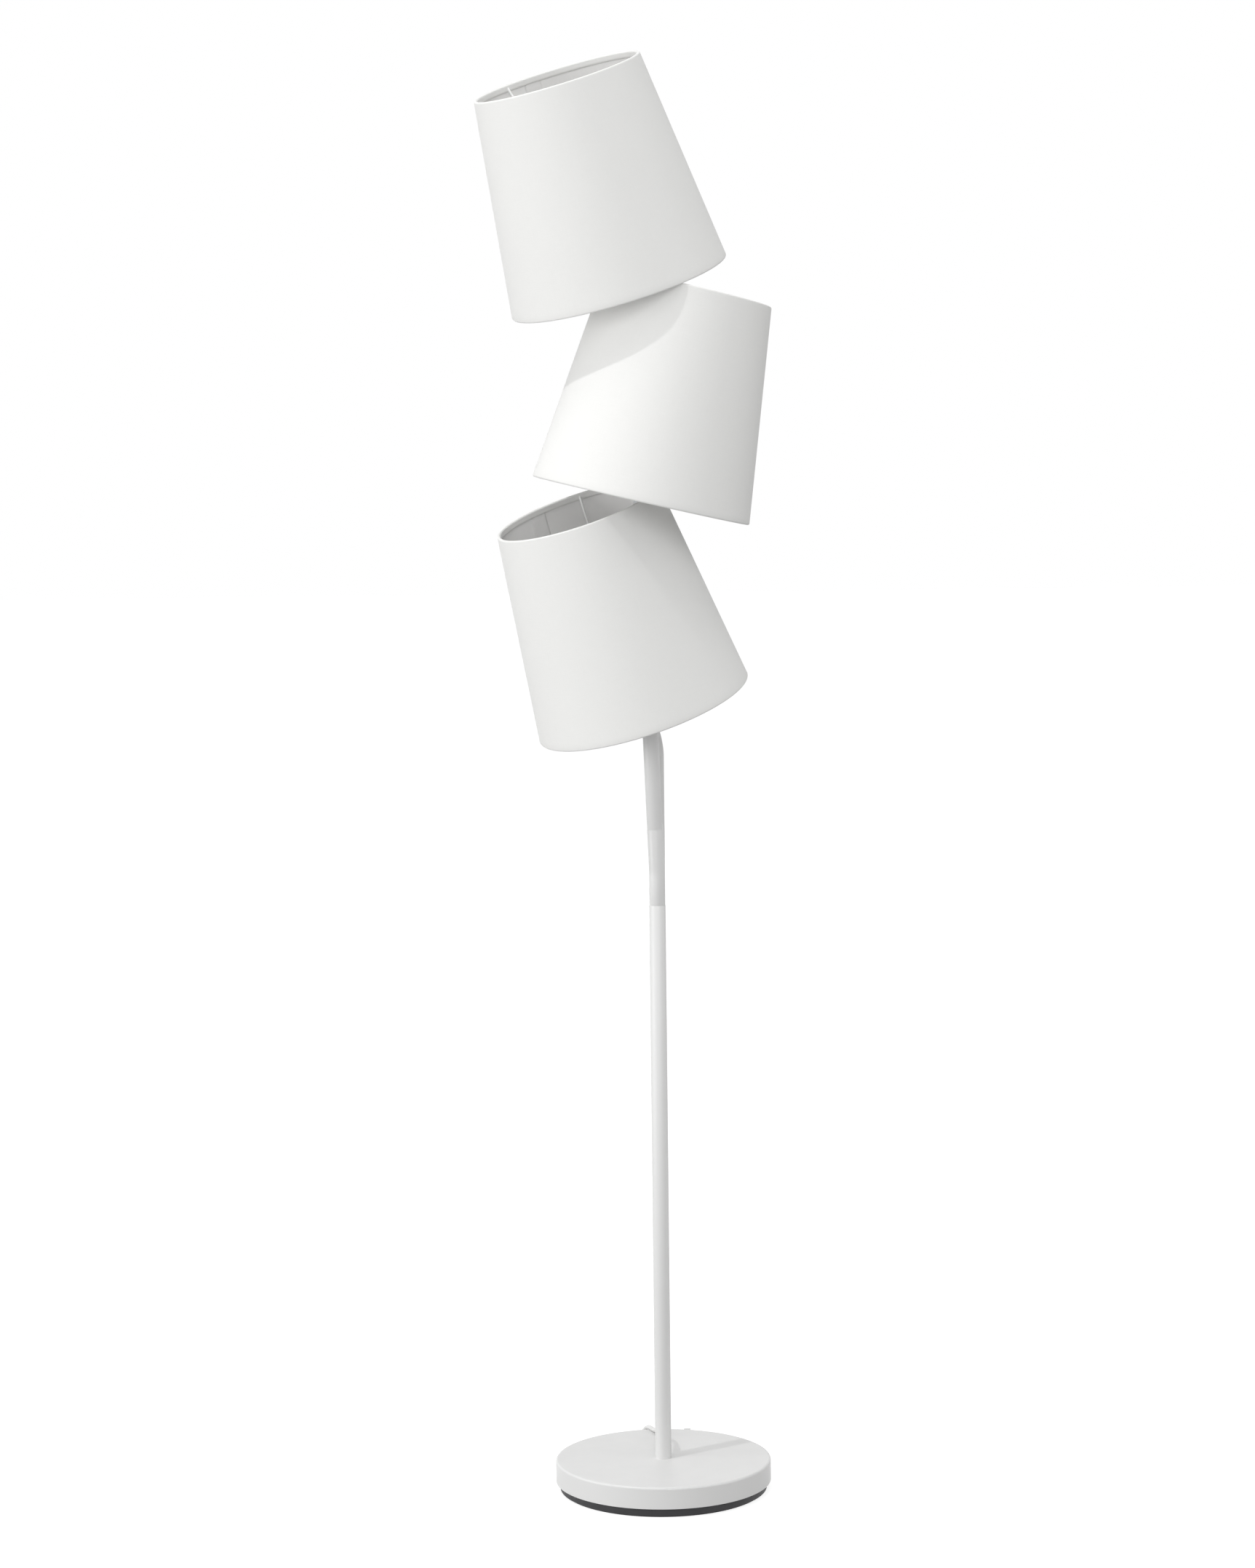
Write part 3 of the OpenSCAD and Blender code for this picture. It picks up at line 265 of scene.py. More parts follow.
def tube(name, path, radius, sides=16):
    """A round tube along a path, closed at both ends.

    Each ring is square to the line between the points before and after its own.
    """
    ahead = unit(np.gradient(path, axis=0))
    side = unit(np.cross(ahead, np.array([0.0, 0.0, 1.0])))
    up = np.cross(side, ahead)
    rings = np.concatenate([[0], np.arange(len(path)), [len(path) - 1]])
    r = np.concatenate([[0], np.full(len(path), radius), [0]])
    angle = np.linspace(0, 2 * np.pi, sides, endpoint=False)
    turn = angle[None, :, None]
    out = side[rings, None] * np.cos(turn) + up[rings, None] * np.sin(turn)
    points = path[rings, None] + out * r[:, None, None]
    run = np.concatenate([[0], np.cumsum(np.linalg.norm(np.diff(path, axis=0), axis=1))])[rings]
    uv = np.stack(np.meshgrid(run, np.linspace(0, 2 * np.pi * radius, sides + 1), indexing="ij"), axis=-1)
    return grid_object(name, points, (False, True), uv, flip=True, merge=True)


def softened(node, width, segments=2):
    """A copy of a CAD node with its doubles merged and its sharp edges rounded to the given width."""
    source = frame["nodes"][node]
    work = bmesh.new()
    work.from_mesh(source.data)
    bmesh.ops.remove_doubles(work, verts=work.verts, dist=SAME_CAD_POINT)
    bmesh.ops.dissolve_limit(
        work, angle_limit=math.radians(FLAT), verts=work.verts, edges=work.edges, delimit={"NORMAL"}
    )
    mesh = bpy.data.meshes.new(node + "_soft")
    work.to_mesh(mesh)
    work.free()
    mesh.polygons.foreach_set("use_smooth", np.ones(len(mesh.polygons), dtype=bool))
    piece = bpy.data.objects.new(node + "_rounded", mesh)
    bpy.context.scene.collection.objects.link(piece)
    bevel = piece.modifiers.new("Rounded edges", "BEVEL")
    bevel.width, bevel.segments, bevel.limit_method = width, segments, "ANGLE"
    bevel.angle_limit, bevel.harden_normals = math.radians(SHARP), True
    bevel.miter_outer = "MITER_ARC"
    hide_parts(node)
    return piece


def finish_piece(piece, body, material):
    """Gives a new piece its material and its body."""
    piece.data.materials.clear()
    piece.data.materials.append(material)
    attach(piece, body)
    return piece


def paint_nodes(material, *names):
    """Gives carried-over CAD nodes their material."""
    for name in names:
        node = frame["nodes"][name]
        if not node.material_slots:
            node.data.materials.append(material)
        for slot in node.material_slots:
            slot.material = material


# ---------- finishes


# where most of a noise's values lie
NOISE_RANGE = (0.3, 0.7)


class Finish:
    """A material with one shader; its patterns are nodes in metres, on object coordinates or the UV map."""

    def __init__(self, name, colour, roughness, **fixed):
        self.material = bpy.data.materials.new(name)
        self.material.use_nodes = True
        self.tree = self.material.node_tree
        self.shader = self.tree.nodes["Principled BSDF"]
        self.colour = tuple(colour)
        self.set(Base_Color=(*self.colour, 1.0), Roughness=roughness, **fixed)

    def set(self, **fixed):
        """Sets the shader's sockets to constants; an underscore stands for a space in a socket's name."""
        for name, value in fixed.items():
            self.shader.inputs[name.replace("_", " ")].default_value = value

    def node(self, kind, links=None, **values):
        """A new node of a kind, with its own settings or sockets set and its inputs linked."""
        made = self.tree.nodes.new("ShaderNode" + kind)
        for name, value in values.items():
            if hasattr(made, name):
                setattr(made, name, value)
            else:
                made.inputs[name.replace("_", " ")].default_value = value
        for name, socket in (links or {}).items():
            self.tree.links.new(socket, made.inputs[name])
        return made

    def place(self, kind="Object", scale=(1, 1, 1)):
        """Coordinates of a kind, each multiplied by its scale."""
        coordinates = self.node("TexCoord").outputs[kind]
        return self.node("Mapping", {"Vector": coordinates}, Scale=scale).outputs[0]

    def noise(self, scale, place=None, detail=3.0, rough=0.5):
        """Fractal noise with about scale waves to the metre."""
        links = {"Vector": place or self.place()}
        return self.node("TexNoise", links, Scale=scale, Detail=detail, Roughness=rough).outputs["Fac"]

    def math(self, operation, a, b=0.0):
        """One step of arithmetic on two numbers or sockets."""
        made = self.node("Math", operation=operation)
        for k, value in enumerate((a, b)):
            if isinstance(value, (int, float)):
                made.inputs[k].default_value = value
            else:
                self.tree.links.new(value, made.inputs[k])
        return made.outputs[0]

    def spread(self, value, low, high, to_low, to_high):
        """Maps the range from low to high evenly onto the range from to_low to to_high."""
        made = self.node("MapRange", {"Value": value})
        for name, number in (("From Min", low), ("From Max", high), ("To Min", to_low), ("To Max", to_high)):
            made.inputs[name].default_value = number
        return made.outputs[0]

    def tint(self, value, dark, light):
        """Colours the surface between two shades of its own colour."""
        ramp = self.node("ValToRGB", {"Fac": value})
        for stop, factor in zip(ramp.color_ramp.elements, (dark, light)):
            stop.color = (*(min(1.0, c * factor) for c in self.colour), 1.0)
        self.tree.links.new(ramp.outputs["Color"], self.shader.inputs["Base Color"])

    def rough(self, value, low, high):
        """Lets the roughness run from low to high as the value runs through its usual range."""
        spread = self.spread(value, *NOISE_RANGE, low, high)
        self.tree.links.new(spread, self.shader.inputs["Roughness"])

    def bump(self, height, distance, strength):
        """Tilts the surface by the slope of a height, whose range stands for the distance in metres."""
        made = self.node("Bump", {"Height": height}, Distance=distance, Strength=strength)
        self.tree.links.new(made.outputs[0], self.shader.inputs["Normal"])


def woven_cloth():
    """Plain weave: threads cross one over one.

    The height is the product of a sine wave across and one along the cloth. Slubs are noise drawn out along
    each of the two ways.
    """
    finish = Finish("Shade cloth", settings().finish.cloth, 0.88, Specular_IOR_Level=0.18)
    finish.set(Sheen_Weight=0.12, Sheen_Roughness=0.4)
    across = finish.node("SeparateXYZ", {"Vector": finish.place("UV")})
    pace = math.pi / settings().shade.thread
    warp = finish.math("SINE", finish.math("MULTIPLY", across.outputs[0], pace))
    weft = finish.math("SINE", finish.math("MULTIPLY", across.outputs[1], pace))
    weave = finish.math("MULTIPLY", warp, weft)
    slubs = finish.math("ADD", *(
        finish.noise(1.0, finish.place("UV", scale), detail=2.0) for scale in ((60, 1400, 1), (1400, 60, 1))
    ))
    height = finish.math("ADD", finish.math("MULTIPLY", weave, 0.5), finish.math("MULTIPLY", slubs, 0.9))
    finish.bump(height, 0.12 * MM, 0.55)
    cloudy = finish.noise(9.0, detail=2.0)
    shade = finish.math("ADD", finish.math("MULTIPLY", slubs, 0.42), finish.math("MULTIPLY", cloudy, 0.2))
    finish.tint(shade, 0.955, 1.035)
    return finish.material


def stiff_lining(name="Shade lining", part=1.0):
    """Stiff laminate with a fine grain; part multiplies its colour, and below 1 paints the doubled lining
    darker, as painted shade where less light comes through it.
    """
    finish = Finish(name, [c * part for c in settings().finish.lining], 0.62, Specular_IOR_Level=0.3)
    finish.bump(finish.noise(900.0, detail=4.0), 0.05 * MM, 0.4)
    finish.tint(finish.noise(35.0), 0.97, 1.02)
    return finish.material


def powder_coat(name, colour, roughness=(0.34, 0.46)):
    """Powder coat: fine noise for its orange peel, and wider noise that dulls it in places."""
    finish = Finish(name, colour, 0.4, Specular_IOR_Level=0.45)
    finish.bump(finish.noise(520.0, detail=2.0), 0.06 * MM, 0.35)
    finish.rough(finish.noise(45.0, detail=4.0), *roughness)
    finish.tint(finish.noise(14.0, detail=3.0), 0.985, 1.012)
    return finish.material


def grained_dark():
    """Dark plastic: fine noise for its moulded grain, and wider noise in its colour."""
    finish = Finish("Dark moulded plate", settings().finish.dark, 0.55, Specular_IOR_Level=0.4)
    finish.bump(finish.noise(1500.0, detail=3.0), 0.08 * MM, 0.6)
    finish.tint(finish.noise(60.0), 0.8, 1.25)
    return finish.material


def moulded_plastic(name, colour=None, roughness=(0.3, 0.42)):
    """Smooth plastic: faint fine noise, and wider noise that varies its gloss a little."""
    finish = Finish(name, colour or settings().finish.plastic, 0.36, Specular_IOR_Level=0.5)
    finish.bump(finish.noise(2200.0, detail=2.0), 0.03 * MM, 0.35)
    finish.rough(finish.noise(120.0, detail=3.0), *roughness)
    finish.tint(finish.noise(40.0), 0.98, 1.01)
    return finish.material


def cord_sheath():
    """Smooth sheath: noise drawn out along the cord for a faint ripple, and wider noise for a little dust."""
    finish = Finish("Cord sheath", settings().finish.cord, 0.42, Specular_IOR_Level=0.45)
    finish.bump(finish.noise(1.0, finish.place("UV", (120, 900, 1)), detail=3.0), 0.06 * MM, 0.5)
    finish.tint(finish.noise(30.0), 0.97, 1.02)
    return finish.material


def pressed_felt():
    """Short fibres: noise of many octaves drives both the height and the colour."""
    finish = Finish("Pressed felt", (0.045, 0.045, 0.048), 0.97, Sheen_Weight=0.3, Specular_IOR_Level=0.1)
    fibres = finish.noise(1800.0, detail=6.0, rough=0.7)
    finish.bump(fibres, 0.3 * MM, 0.8)
    finish.tint(fibres, 0.6, 1.5)
    return finish.material


def cast_iron():
    """Rough skin left by the sand of a mould: noise of many octaves drives both the height and the colour."""
    finish = Finish("Raw casting", (0.12, 0.12, 0.122), 0.72, Metallic=0.6)
    sand = finish.noise(420.0, detail=6.0, rough=0.65)
    finish.bump(sand, 0.4 * MM, 0.8)
    finish.tint(sand, 0.7, 1.3)
    return finish.material


def plated(name, colour, roughness=0.3):
    """Plated metal with fine turning marks: noise drawn out across the height."""
    finish = Finish(name, colour, roughness, Metallic=1.0)
    finish.bump(finish.noise(1.0, finish.place("Object", (400, 400, 3500)), detail=3.0), 0.03 * MM, 0.4)
    finish.rough(finish.noise(160.0, detail=4.0), roughness - 0.08, roughness + 0.12)
    finish.tint(finish.noise(50.0), 0.93, 1.04)
    return finish.material


def frosted_glass():
    """White bulb glass, frosted inside, with very fine noise and no clear part."""
    finish = Finish("Frosted bulb glass", settings().finish.glass, 0.32, Specular_IOR_Level=0.5)
    finish.bump(finish.noise(1600.0, detail=3.0), 0.02 * MM, 0.4)
    finish.tint(finish.noise(40.0), 0.985, 1.01)
    return finish.material


# ---------- cords


# route points and coil of the CAD cords, in millimetres and degrees
LEAD_ROUTE = [
    (0, 14.4, 66), (0, 33.4, 66), (0, 40, 65.8), (-0.2, 48, 64.6), (-0.7, 56, 62.2), (-1.6, 64, 58.8),
    (-2.8, 72, 54.6), (-4.2, 80, 50.2), (-5.8, 88, 46), (-7.4, 95.5, 42.6), (-9, 102.5, 40.2),
    (-11, 109.5, 38.8), (-13.4, 116, 38.6), (-16.2, 122, 38.6), (-19.4, 127.6, 36.4), (-22.8, 132.6, 31.8),
    (-26, 137, 26.6), (-29, 140.8, 21), (-32, 143.8, 15.8), (-35.6, 146.4, 11.4), (-40, 148.3, 8.2),
    (-44.5, 149, 7), (-49, 149, 7),
]
TAIL_ROUTE = [
    (-89, 149, 7), (-93, 149, 7), (-98, 148.8, 6.6), (-104, 147, 5.4), (-109.4, 143.6, 4), (-113.4, 138.6, 3),
    (-115.6, 132.6, 2.8), (-115.6, 126.2, 2.8), (-113.4, 120.2, 2.8), (-109.2, 115.4, 2.8),
    (-103.6, 112.6, 2.8), (-97, 111.8, 2.8), (-88, 112.8, 2.8), (-77, 115.4, 2.8), (-66, 118.6, 2.8),
    (-55, 121.8, 2.8), (-43, 125, 2.8), (-30, 127.8, 2.8), (-16, 129.6, 2.8), (-2, 130.4, 2.9),
    (10, 130.6, 3.2), (20, 130.6, 3.3), (25, 130.6, 3.3),
]
COIL_CENTRE = (30.0, 169.0)
COIL_TURNS, COIL_EXIT = 7, 22.0
COIL_HEIGHT, COIL_DIP = 3.3, 1.2
PLUG_TURN, PLUG_AT = -32.0, (69.2, 133.3, 6.85)
# the two points between the coil and the plug
PLUG_RISE = ((56.4, 137.2, 8.4), (61, 136.8, 7.6))
# points to one turn of the coil
COIL_STEPS = 24
# the strain relief's far end from the pole's axis and its height, in metres
RELIEF_END, RELIEF_HEIGHT = 0.0334, 0.066


def coil_points(sizes):
    """Two layers of flat turns: the radius shrinks evenly, then grows again.

    In the half turn between, the height climbs by one pitch on a smooth step, and the radius dips by a sine.
    """
    total = COIL_TURNS + COIL_EXIT / 360
    half = (total - 0.5) / 2
    t = np.linspace(0, total, round(total * COIL_STEPS) + 1)
    climb = np.clip((t - half) / 0.5, 0, 1)
    inward = np.where(t < half, t, np.where(t < half + 0.5, half, total - t))
    r = sizes.coil_radius / MM - sizes.coil_pitch / MM * inward - COIL_DIP * np.sin(np.pi * climb)
    x = COIL_CENTRE[0] + r * np.sin(2 * np.pi * t)
    y = COIL_CENTRE[1] - r * np.cos(2 * np.pi * t)
    z = COIL_HEIGHT + sizes.coil_pitch / MM * climb**2 * (3 - 2 * climb)
    return np.stack([x, y, z], axis=-1)


def tail_path(sizes):
    """Smooth curves from the switch back under the lead, through the coil and into the plug."""
    coil = coil_points(sizes)
    leave, plug_way = (np.array([math.cos(a), math.sin(a), 0]) for a in np.radians([COIL_EXIT, PLUG_TURN]))
    out = coil[-1] + leave * sizes.diameter / MM
    last = np.array(PLUG_AT)
    end = np.array([out, out + leave * 3, *PLUG_RISE, last - plug_way * 4, last])
    middle = smooth_path(np.vstack([TAIL_ROUTE[-1], coil, out]), 2)
    return np.vstack([smooth_path(TAIL_ROUTE)[:-1], middle[1:-1], smooth_path(end)]) * MM


class LAMP_OT_cords(bpy.types.Operator):
    bl_idname = "lamp.cords"
    bl_label = "Cords"

    def execute(self, context):
        sizes = settings().cord
        sheath = cord_sheath()
        lead_path = smooth_path(LEAD_ROUTE) * MM
        lead = tube("lead_to_switch", lead_path, sizes.diameter / 2)
        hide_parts("cord_lead")
        finish_piece(lead, "stand", sheath)
        path = tail_path(sizes)
        tail = tube("cord_to_plug", path, sizes.diameter / 2, sides=12)
        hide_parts("cord_tail", "cord_coil")
        finish_piece(tail, "stand", sheath)
        moulding = moulded_plastic("Soft white moulding", settings().finish.cord)
        finish_piece(self.strain_relief(sizes), "stand", moulding)
        paint_nodes(moulded_plastic("Pale strap", (0.66, 0.66, 0.65), (0.5, 0.6)), "cord_tie")
        return {"FINISHED"}

    def strain_relief(self, sizes):
        """A cone turned about Y, with a flange at the pole and ribs that rise as a sine along its length."""
        start, end = sizes.relief_start, RELIEF_END
        neck = sizes.diameter / 2 + sizes.relief_wall
        y = np.linspace(start + 3 * MM, end, 120)
        along = (y - y[0]) / (y[-1] - y[0])
        rib, sunk, plain = 0.45 * MM, 0.25 * MM, 0.08
        wave = rib * np.clip(np.sin(2 * np.pi * sizes.ribs * along), 0, 1) * (along > plain)
        cone = neck - sizes.relief_taper * along - sunk + wave
        flange = [(neck, start), (neck, start + 1.8 * MM), (neck + 1 * MM, start + 2 * MM),
                  (neck + 1 * MM, start + 2.8 * MM)]
        hole = sizes.diameter / 2 + 0.05 * MM
        outside = np.stack([cone, y], axis=-1)
        profile = np.vstack([[(hole, start)], flange, outside, [(hole, end), (hole, start)]])
        axes = np.array([[1.0, 0, 0], [0, 0, 1.0], [0, -1.0, 0]])
        origin = np.array([0, 0, RELIEF_HEIGHT])
        relief = turned("strain_relief_ribbed", axes, origin, profile, 48, merge=True)
        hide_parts("strain_relief")
        return relief


# ---------- shades


class LAMP_OT_shades(bpy.types.Operator):
    """Make the three cloth covers and the linings' doubled strips, and finish linings, rings and spiders."""

    bl_idname = "lamp.shades"
    bl_label = "Shades"

    def execute(self, context):
        cloth, lining = woven_cloth(), stiff_lining()
        # the strip where the lining is doubled is painted darker: painted shade of the light that comes
        # through the cloth
        shaded_lap_lining = stiff_lining("Doubled lining with painted shade", 0.945)
        wire = powder_coat("White coated wire", settings().finish.wire, roughness=(0.3, 0.4))
        sizes = settings().shade
        for lamp in LAMPS:
            finish_piece(self.cover(lamp, sizes), lamp + "_lampshade", cloth)
            paint_nodes(lining, lamp + "_liner")
            finish_piece(self.lining_lap(lamp, sizes), lamp + "_lampshade", shaded_lap_lining)
            paint_nodes(wire, lamp + "_spider", lamp + "_wire_rings")
        return {"FINISHED"}

    def cover(self, lamp, sizes):
        """A cone whose profile runs on round each ring wire and hangs behind it as a flap, to the lining.

        The radius falls evenly from the lower edge to the upper one. The lap raises it by most of a cloth
        over a narrow band, with a smooth step at each side.
        """
        axes, base = lamp_axes(lamp)
        slope = (sizes.bottom_radius - sizes.top_radius) / sizes.height
        lean = math.cos(math.atan(slope))

        def wall(height):
            """Outer radius of the plain cone at a height."""
            return sizes.bottom_radius - slope * height

        def roll(height, start, end):
            """Part of a circle that touches the cone, between two angles from its outer side."""
            a = np.radians(np.linspace(start, end, 13))
            middle = wall(height) - sizes.roll / lean
            return np.stack([middle + sizes.roll * np.cos(a), height + sizes.roll * np.sin(a)], axis=-1)

        rows = np.linspace(sizes.roll, sizes.height - sizes.roll, 40)[1:-1]
        inner, flap_start = 2.2 * sizes.cloth, 1.15 * sizes.roll
        flap = np.linspace(sizes.tuck - sizes.flap_end, flap_start, 4)
        hang = sizes.roll / lean + sizes.roll
        profile = np.vstack([
            [(wall(sizes.tuck) - inner, sizes.tuck)],
            np.stack([wall(flap) - hang, flap], axis=-1),
            roll(sizes.roll, -180, 0),
            np.stack([wall(rows), rows], axis=-1),
            roll(sizes.height - sizes.roll, 0, 180),
            np.stack([wall(sizes.height - flap[::-1]) - hang, sizes.height - flap[::-1]], axis=-1),
            [(wall(sizes.height - sizes.tuck) - inner, sizes.height - sizes.tuck)],
        ])

        def lap(angle, height):
            """Extra radius round the seam, which falls away on a smooth step at each side."""
            away = (angle - math.radians(LAP_TURN[lamp]) + np.pi) % (2 * np.pi) - np.pi
            past = np.abs(away) * sizes.bottom_radius - sizes.lap / 2
            rise, step = 0.8 * sizes.cloth, 0.4 * MM
            return rise / (1 + np.exp(past / step))

        cover = turned(lamp + "_cover", axes, base, profile, 288, ripple=lap, around=sizes.bottom_radius)
        depth = cover.modifiers.new("Cloth", "SOLIDIFY")
        depth.thickness, depth.offset = sizes.cloth, -1.0
        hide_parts(lamp + "_shade")
        return cover

    def lining_lap(self, lamp, sizes):
        """The strip where the lining's ends overlap: a narrow part of a cone on the lining's inside."""
        axes, base = lamp_axes(lamp)
        angle = math.radians(LAP_TURN[lamp]) + np.linspace(-0.5, 0.5, 9) * sizes.lining_lap / sizes.top_radius
        height = np.linspace(sizes.lining_edge, sizes.height - sizes.lining_edge, 24)
        a, z = np.meshgrid(angle, height, indexing="ij")
        slope = (sizes.bottom_radius - sizes.top_radius) / sizes.height
        r = sizes.bottom_radius - slope * z - sizes.lining_depth
        points = np.stack([r * np.cos(a), r * np.sin(a), z], axis=-1) @ axes.T + base
        uv = np.stack([a * sizes.top_radius, z], axis=-1)
        strip = grid_object(lamp + "_lining_lap", points, uv=uv, flip=True)
        depth = strip.modifiers.new("Lining", "SOLIDIFY")
        depth.thickness, depth.offset = 0.9 * sizes.cloth, -1.0
        return strip


# ---------- holders and bulbs


class LAMP_OT_holders(bpy.types.Operator):
    """Thread the sleeves and finish the holders' plastic and metal."""

    bl_idname = "lamp.holders"
    bl_label = "Lamp holders"

    def execute(self, context):
        sizes = settings()
        plastic = moulded_plastic("Holder plastic")
        core = moulded_plastic("Holder insulator", (0.78, 0.77, 0.73), (0.2, 0.3))
        for lamp in LAMPS:
            paint_nodes(plastic, lamp + "_holder_cap", lamp + "_holder_sleeve", lamp + "_ring_nut")
            paint_nodes(core, lamp + "_holder_core")
            finish_piece(self.thread(lamp, sizes), "stand", plastic)
        paint_nodes(plated("Contact brass", (0.72, 0.5, 0.2)), "holder_contacts")
        paint_nodes(plated("Zinc plated steel", (0.56, 0.57, 0.58)), "nipples", "lock_nuts")
        return {"FINISHED"}

    def thread(self, lamp, sizes):
        """Thread over the sleeve's end: the radius is a cosine of the angle less a turn for each pitch up."""
        axes, base = lamp_axes(lamp)
        holder = sizes.holder
        low, high = sizes.shade.hub_height + holder.thread_start, sizes.shade.hub_height + holder.thread_end
        rows, sunk, proud, run_out = 40, 0.2 * MM, 0.03 * MM, 0.6 * MM
        inside, outside = holder.sleeve_radius - sunk, holder.sleeve_radius + proud
        height = np.linspace(low, high, rows)
        face = np.stack([np.full(rows, outside), height], axis=-1)
        profile = np.vstack([[(inside, low)], face, [(inside, high), (inside, low)]])

        def ridge(angle, z):
            """The thread's height, which fades out towards both ends."""
            fade = np.clip(np.minimum(z - low, high - z) / run_out, 0, 1)
            wave = 0.5 + 0.5 * np.cos(angle - 2 * np.pi * z / holder.thread_pitch)
            return holder.thread_depth * fade * wave

        return turned(lamp + "_sleeve_thread", axes, base, profile, 96, ripple=ridge, merge=True)


class LAMP_OT_bulbs(bpy.types.Operator):
    """Finish the frosted bulbs and roll a thread into their caps."""

    bl_idname = "lamp.bulbs"
    bl_label = "Bulbs"

    def execute(self, context):
        sizes = settings()
        glass = frosted_glass()
        metal = plated("Rolled cap metal", (0.62, 0.62, 0.63), 0.28)
        for lamp in LAMPS:
            paint_nodes(glass, lamp + "_bulb_glass")
            finish_piece(self.cap(lamp, sizes), lamp + "_bulb", metal)
        return {"FINISHED"}

    def cap(self, lamp, sizes):
        """Rolled thread between a stepped tip and a flare, by the same cosine as the sleeve's thread."""
        axes, base = lamp_axes(lamp)
        holder = sizes.holder
        low, high = cap_heights(lamp, axes, base)
        first, last = low + 3.4 * MM, high - 2.8 * MM
        rows, wave, run_out = 90, 0.4 * MM, 1 * MM
        tip = [(0, low), (holder.cap_tip, low), (holder.cap_tip + 0.4 * MM, low + 1.6 * MM),
               (holder.cap_radius - 0.8 * MM, low + 3.2 * MM)]
        flare = [(holder.cap_radius - 0.2 * MM, high - 1.6 * MM), (holder.cap_flare, high - 0.5 * MM),
                 (holder.cap_flare, high), (0, high)]
        middle = np.full(rows, holder.cap_radius - wave - 0.05 * MM)
        profile = np.vstack([tip, np.stack([middle, np.linspace(first, last, rows)], axis=-1), flare])

        def groove(angle, z):
            """The thread's wave, which fades out towards both ends."""
            fade = np.clip(np.minimum(z - first, last - z) / run_out, 0, 1)
            return wave * fade * np.cos(angle - 2 * np.pi * z / holder.cap_pitch)

        cap = turned(lamp + "_cap_threaded", axes, base, profile, 72, ripple=groove, merge=True)
        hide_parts(lamp + "_bulb_cap")
        return cap


def cap_heights(lamp, axes, base):
    """Lowest and highest point of the CAD bulb cap along its lamp's axis."""
    mesh = frame["nodes"][lamp + "_bulb_cap"].data
    points = np.empty(len(mesh.vertices) * 3)
    mesh.vertices.foreach_get("co", points)
    along = (points.reshape(-1, 3) - base) @ axes[:, 2]
    return along.min(), along.max()


# ---------- tubes and base


class LAMP_OT_tubes(bpy.types.Operator):
    """Round the edges of the tubes and forks and finish them in white powder coat."""

    bl_idname = "lamp.tubes"
    bl_label = "Tubes and forks"

    def execute(self, context):
        paint = powder_coat("White powder coat", settings().finish.paint)
        for node in ("pole", "lower_fork", "middle_tube", "upper_fork", "low_arm", "mid_arm", "top_arm"):
            finish_piece(softened(node, 0.4 * MM), "stand", paint)
        paint_nodes(plated("Zinc plated screws", (0.6, 0.6, 0.61)), "set_screws", "pole_plug")
        paint_nodes(cord_sheath(), "inner_leads")
        return {"FINISHED"}


class LAMP_OT_base(bpy.types.Operator):
    """Finish the base cover, its weight, the dark plate, felt and fasteners."""

    bl_idname = "lamp.base"
    bl_label = "Base"

    def execute(self, context):
        # the base cover gets the darker white: painted shade
        paint_nodes(powder_coat("Base coat painted darker for shade", settings().finish.base), "base_cover")
        finish_piece(softened("base_plate", 0.8 * MM, 3), "stand", grained_dark())
        paint_nodes(cast_iron(), "base_weight")
        paint_nodes(pressed_felt(), "base_felt")
        zinc = plated("Zinc plated bolts", (0.58, 0.58, 0.6))
        finish_piece(softened("base_bolt", 0.4 * MM), "stand", zinc)
        paint_nodes(zinc, "base_washer", "plate_screws")
        return {"FINISHED"}


class LAMP_OT_switch_and_plug(bpy.types.Operator):
    """Round and finish the in-line switch and the plug."""

    bl_idname = "lamp.switch_and_plug"
    bl_label = "Switch and plug"

    def execute(self, context):
        shell = moulded_plastic("Switch plastic")
        finish_piece(softened("switch_base", 0.7 * MM, 3), "stand", shell)
        finish_piece(softened("switch_cover", 0.9 * MM, 3), "stand", shell)
        finish_piece(softened("switch_rocker", 0.4 * MM), "rocker", shell)
        body = moulded_plastic("Plug plastic", roughness=(0.4, 0.52))
        finish_piece(softened("plug_body", 1.2 * MM, 3), "stand", body)
        paint_nodes(plated("Plated pins", (0.66, 0.63, 0.56)), "plug_pins")
        return {"FINISHED"}


# ---------- stage


# millimetres, like the lens
SENSOR_WIDTH = 36.0
CAMERA_PLACE = (-0.0061, -3.9342, 1.1445)
# yaw, pitch and roll in degrees
CAMERA_TURN = (0.388, -4.666, 0.662)
FLOOR_HALF = 40.0
# a point in the bottom shade, at which every light points
LIGHT_AIM = (0, 0, 0.95)
# name, angle from +X and elevation in degrees, distance and width in metres
KEY_LIGHT = ("Key", -145, 54, 9.0, 0.3)
# the same for each soft light, and its part of the soft lights' power
SOFT_LIGHTS = (
    ("Left wall", -165, -2, 4.0, 2.0, 0.41),
    ("Ceiling", -90, 80, 3.2, 3.0, 0.17),
    ("Front", -90, 16, 4.0, 3.0, 0.31),
    ("Right", -20, 25, 4.0, 3.0, 0.11),
)


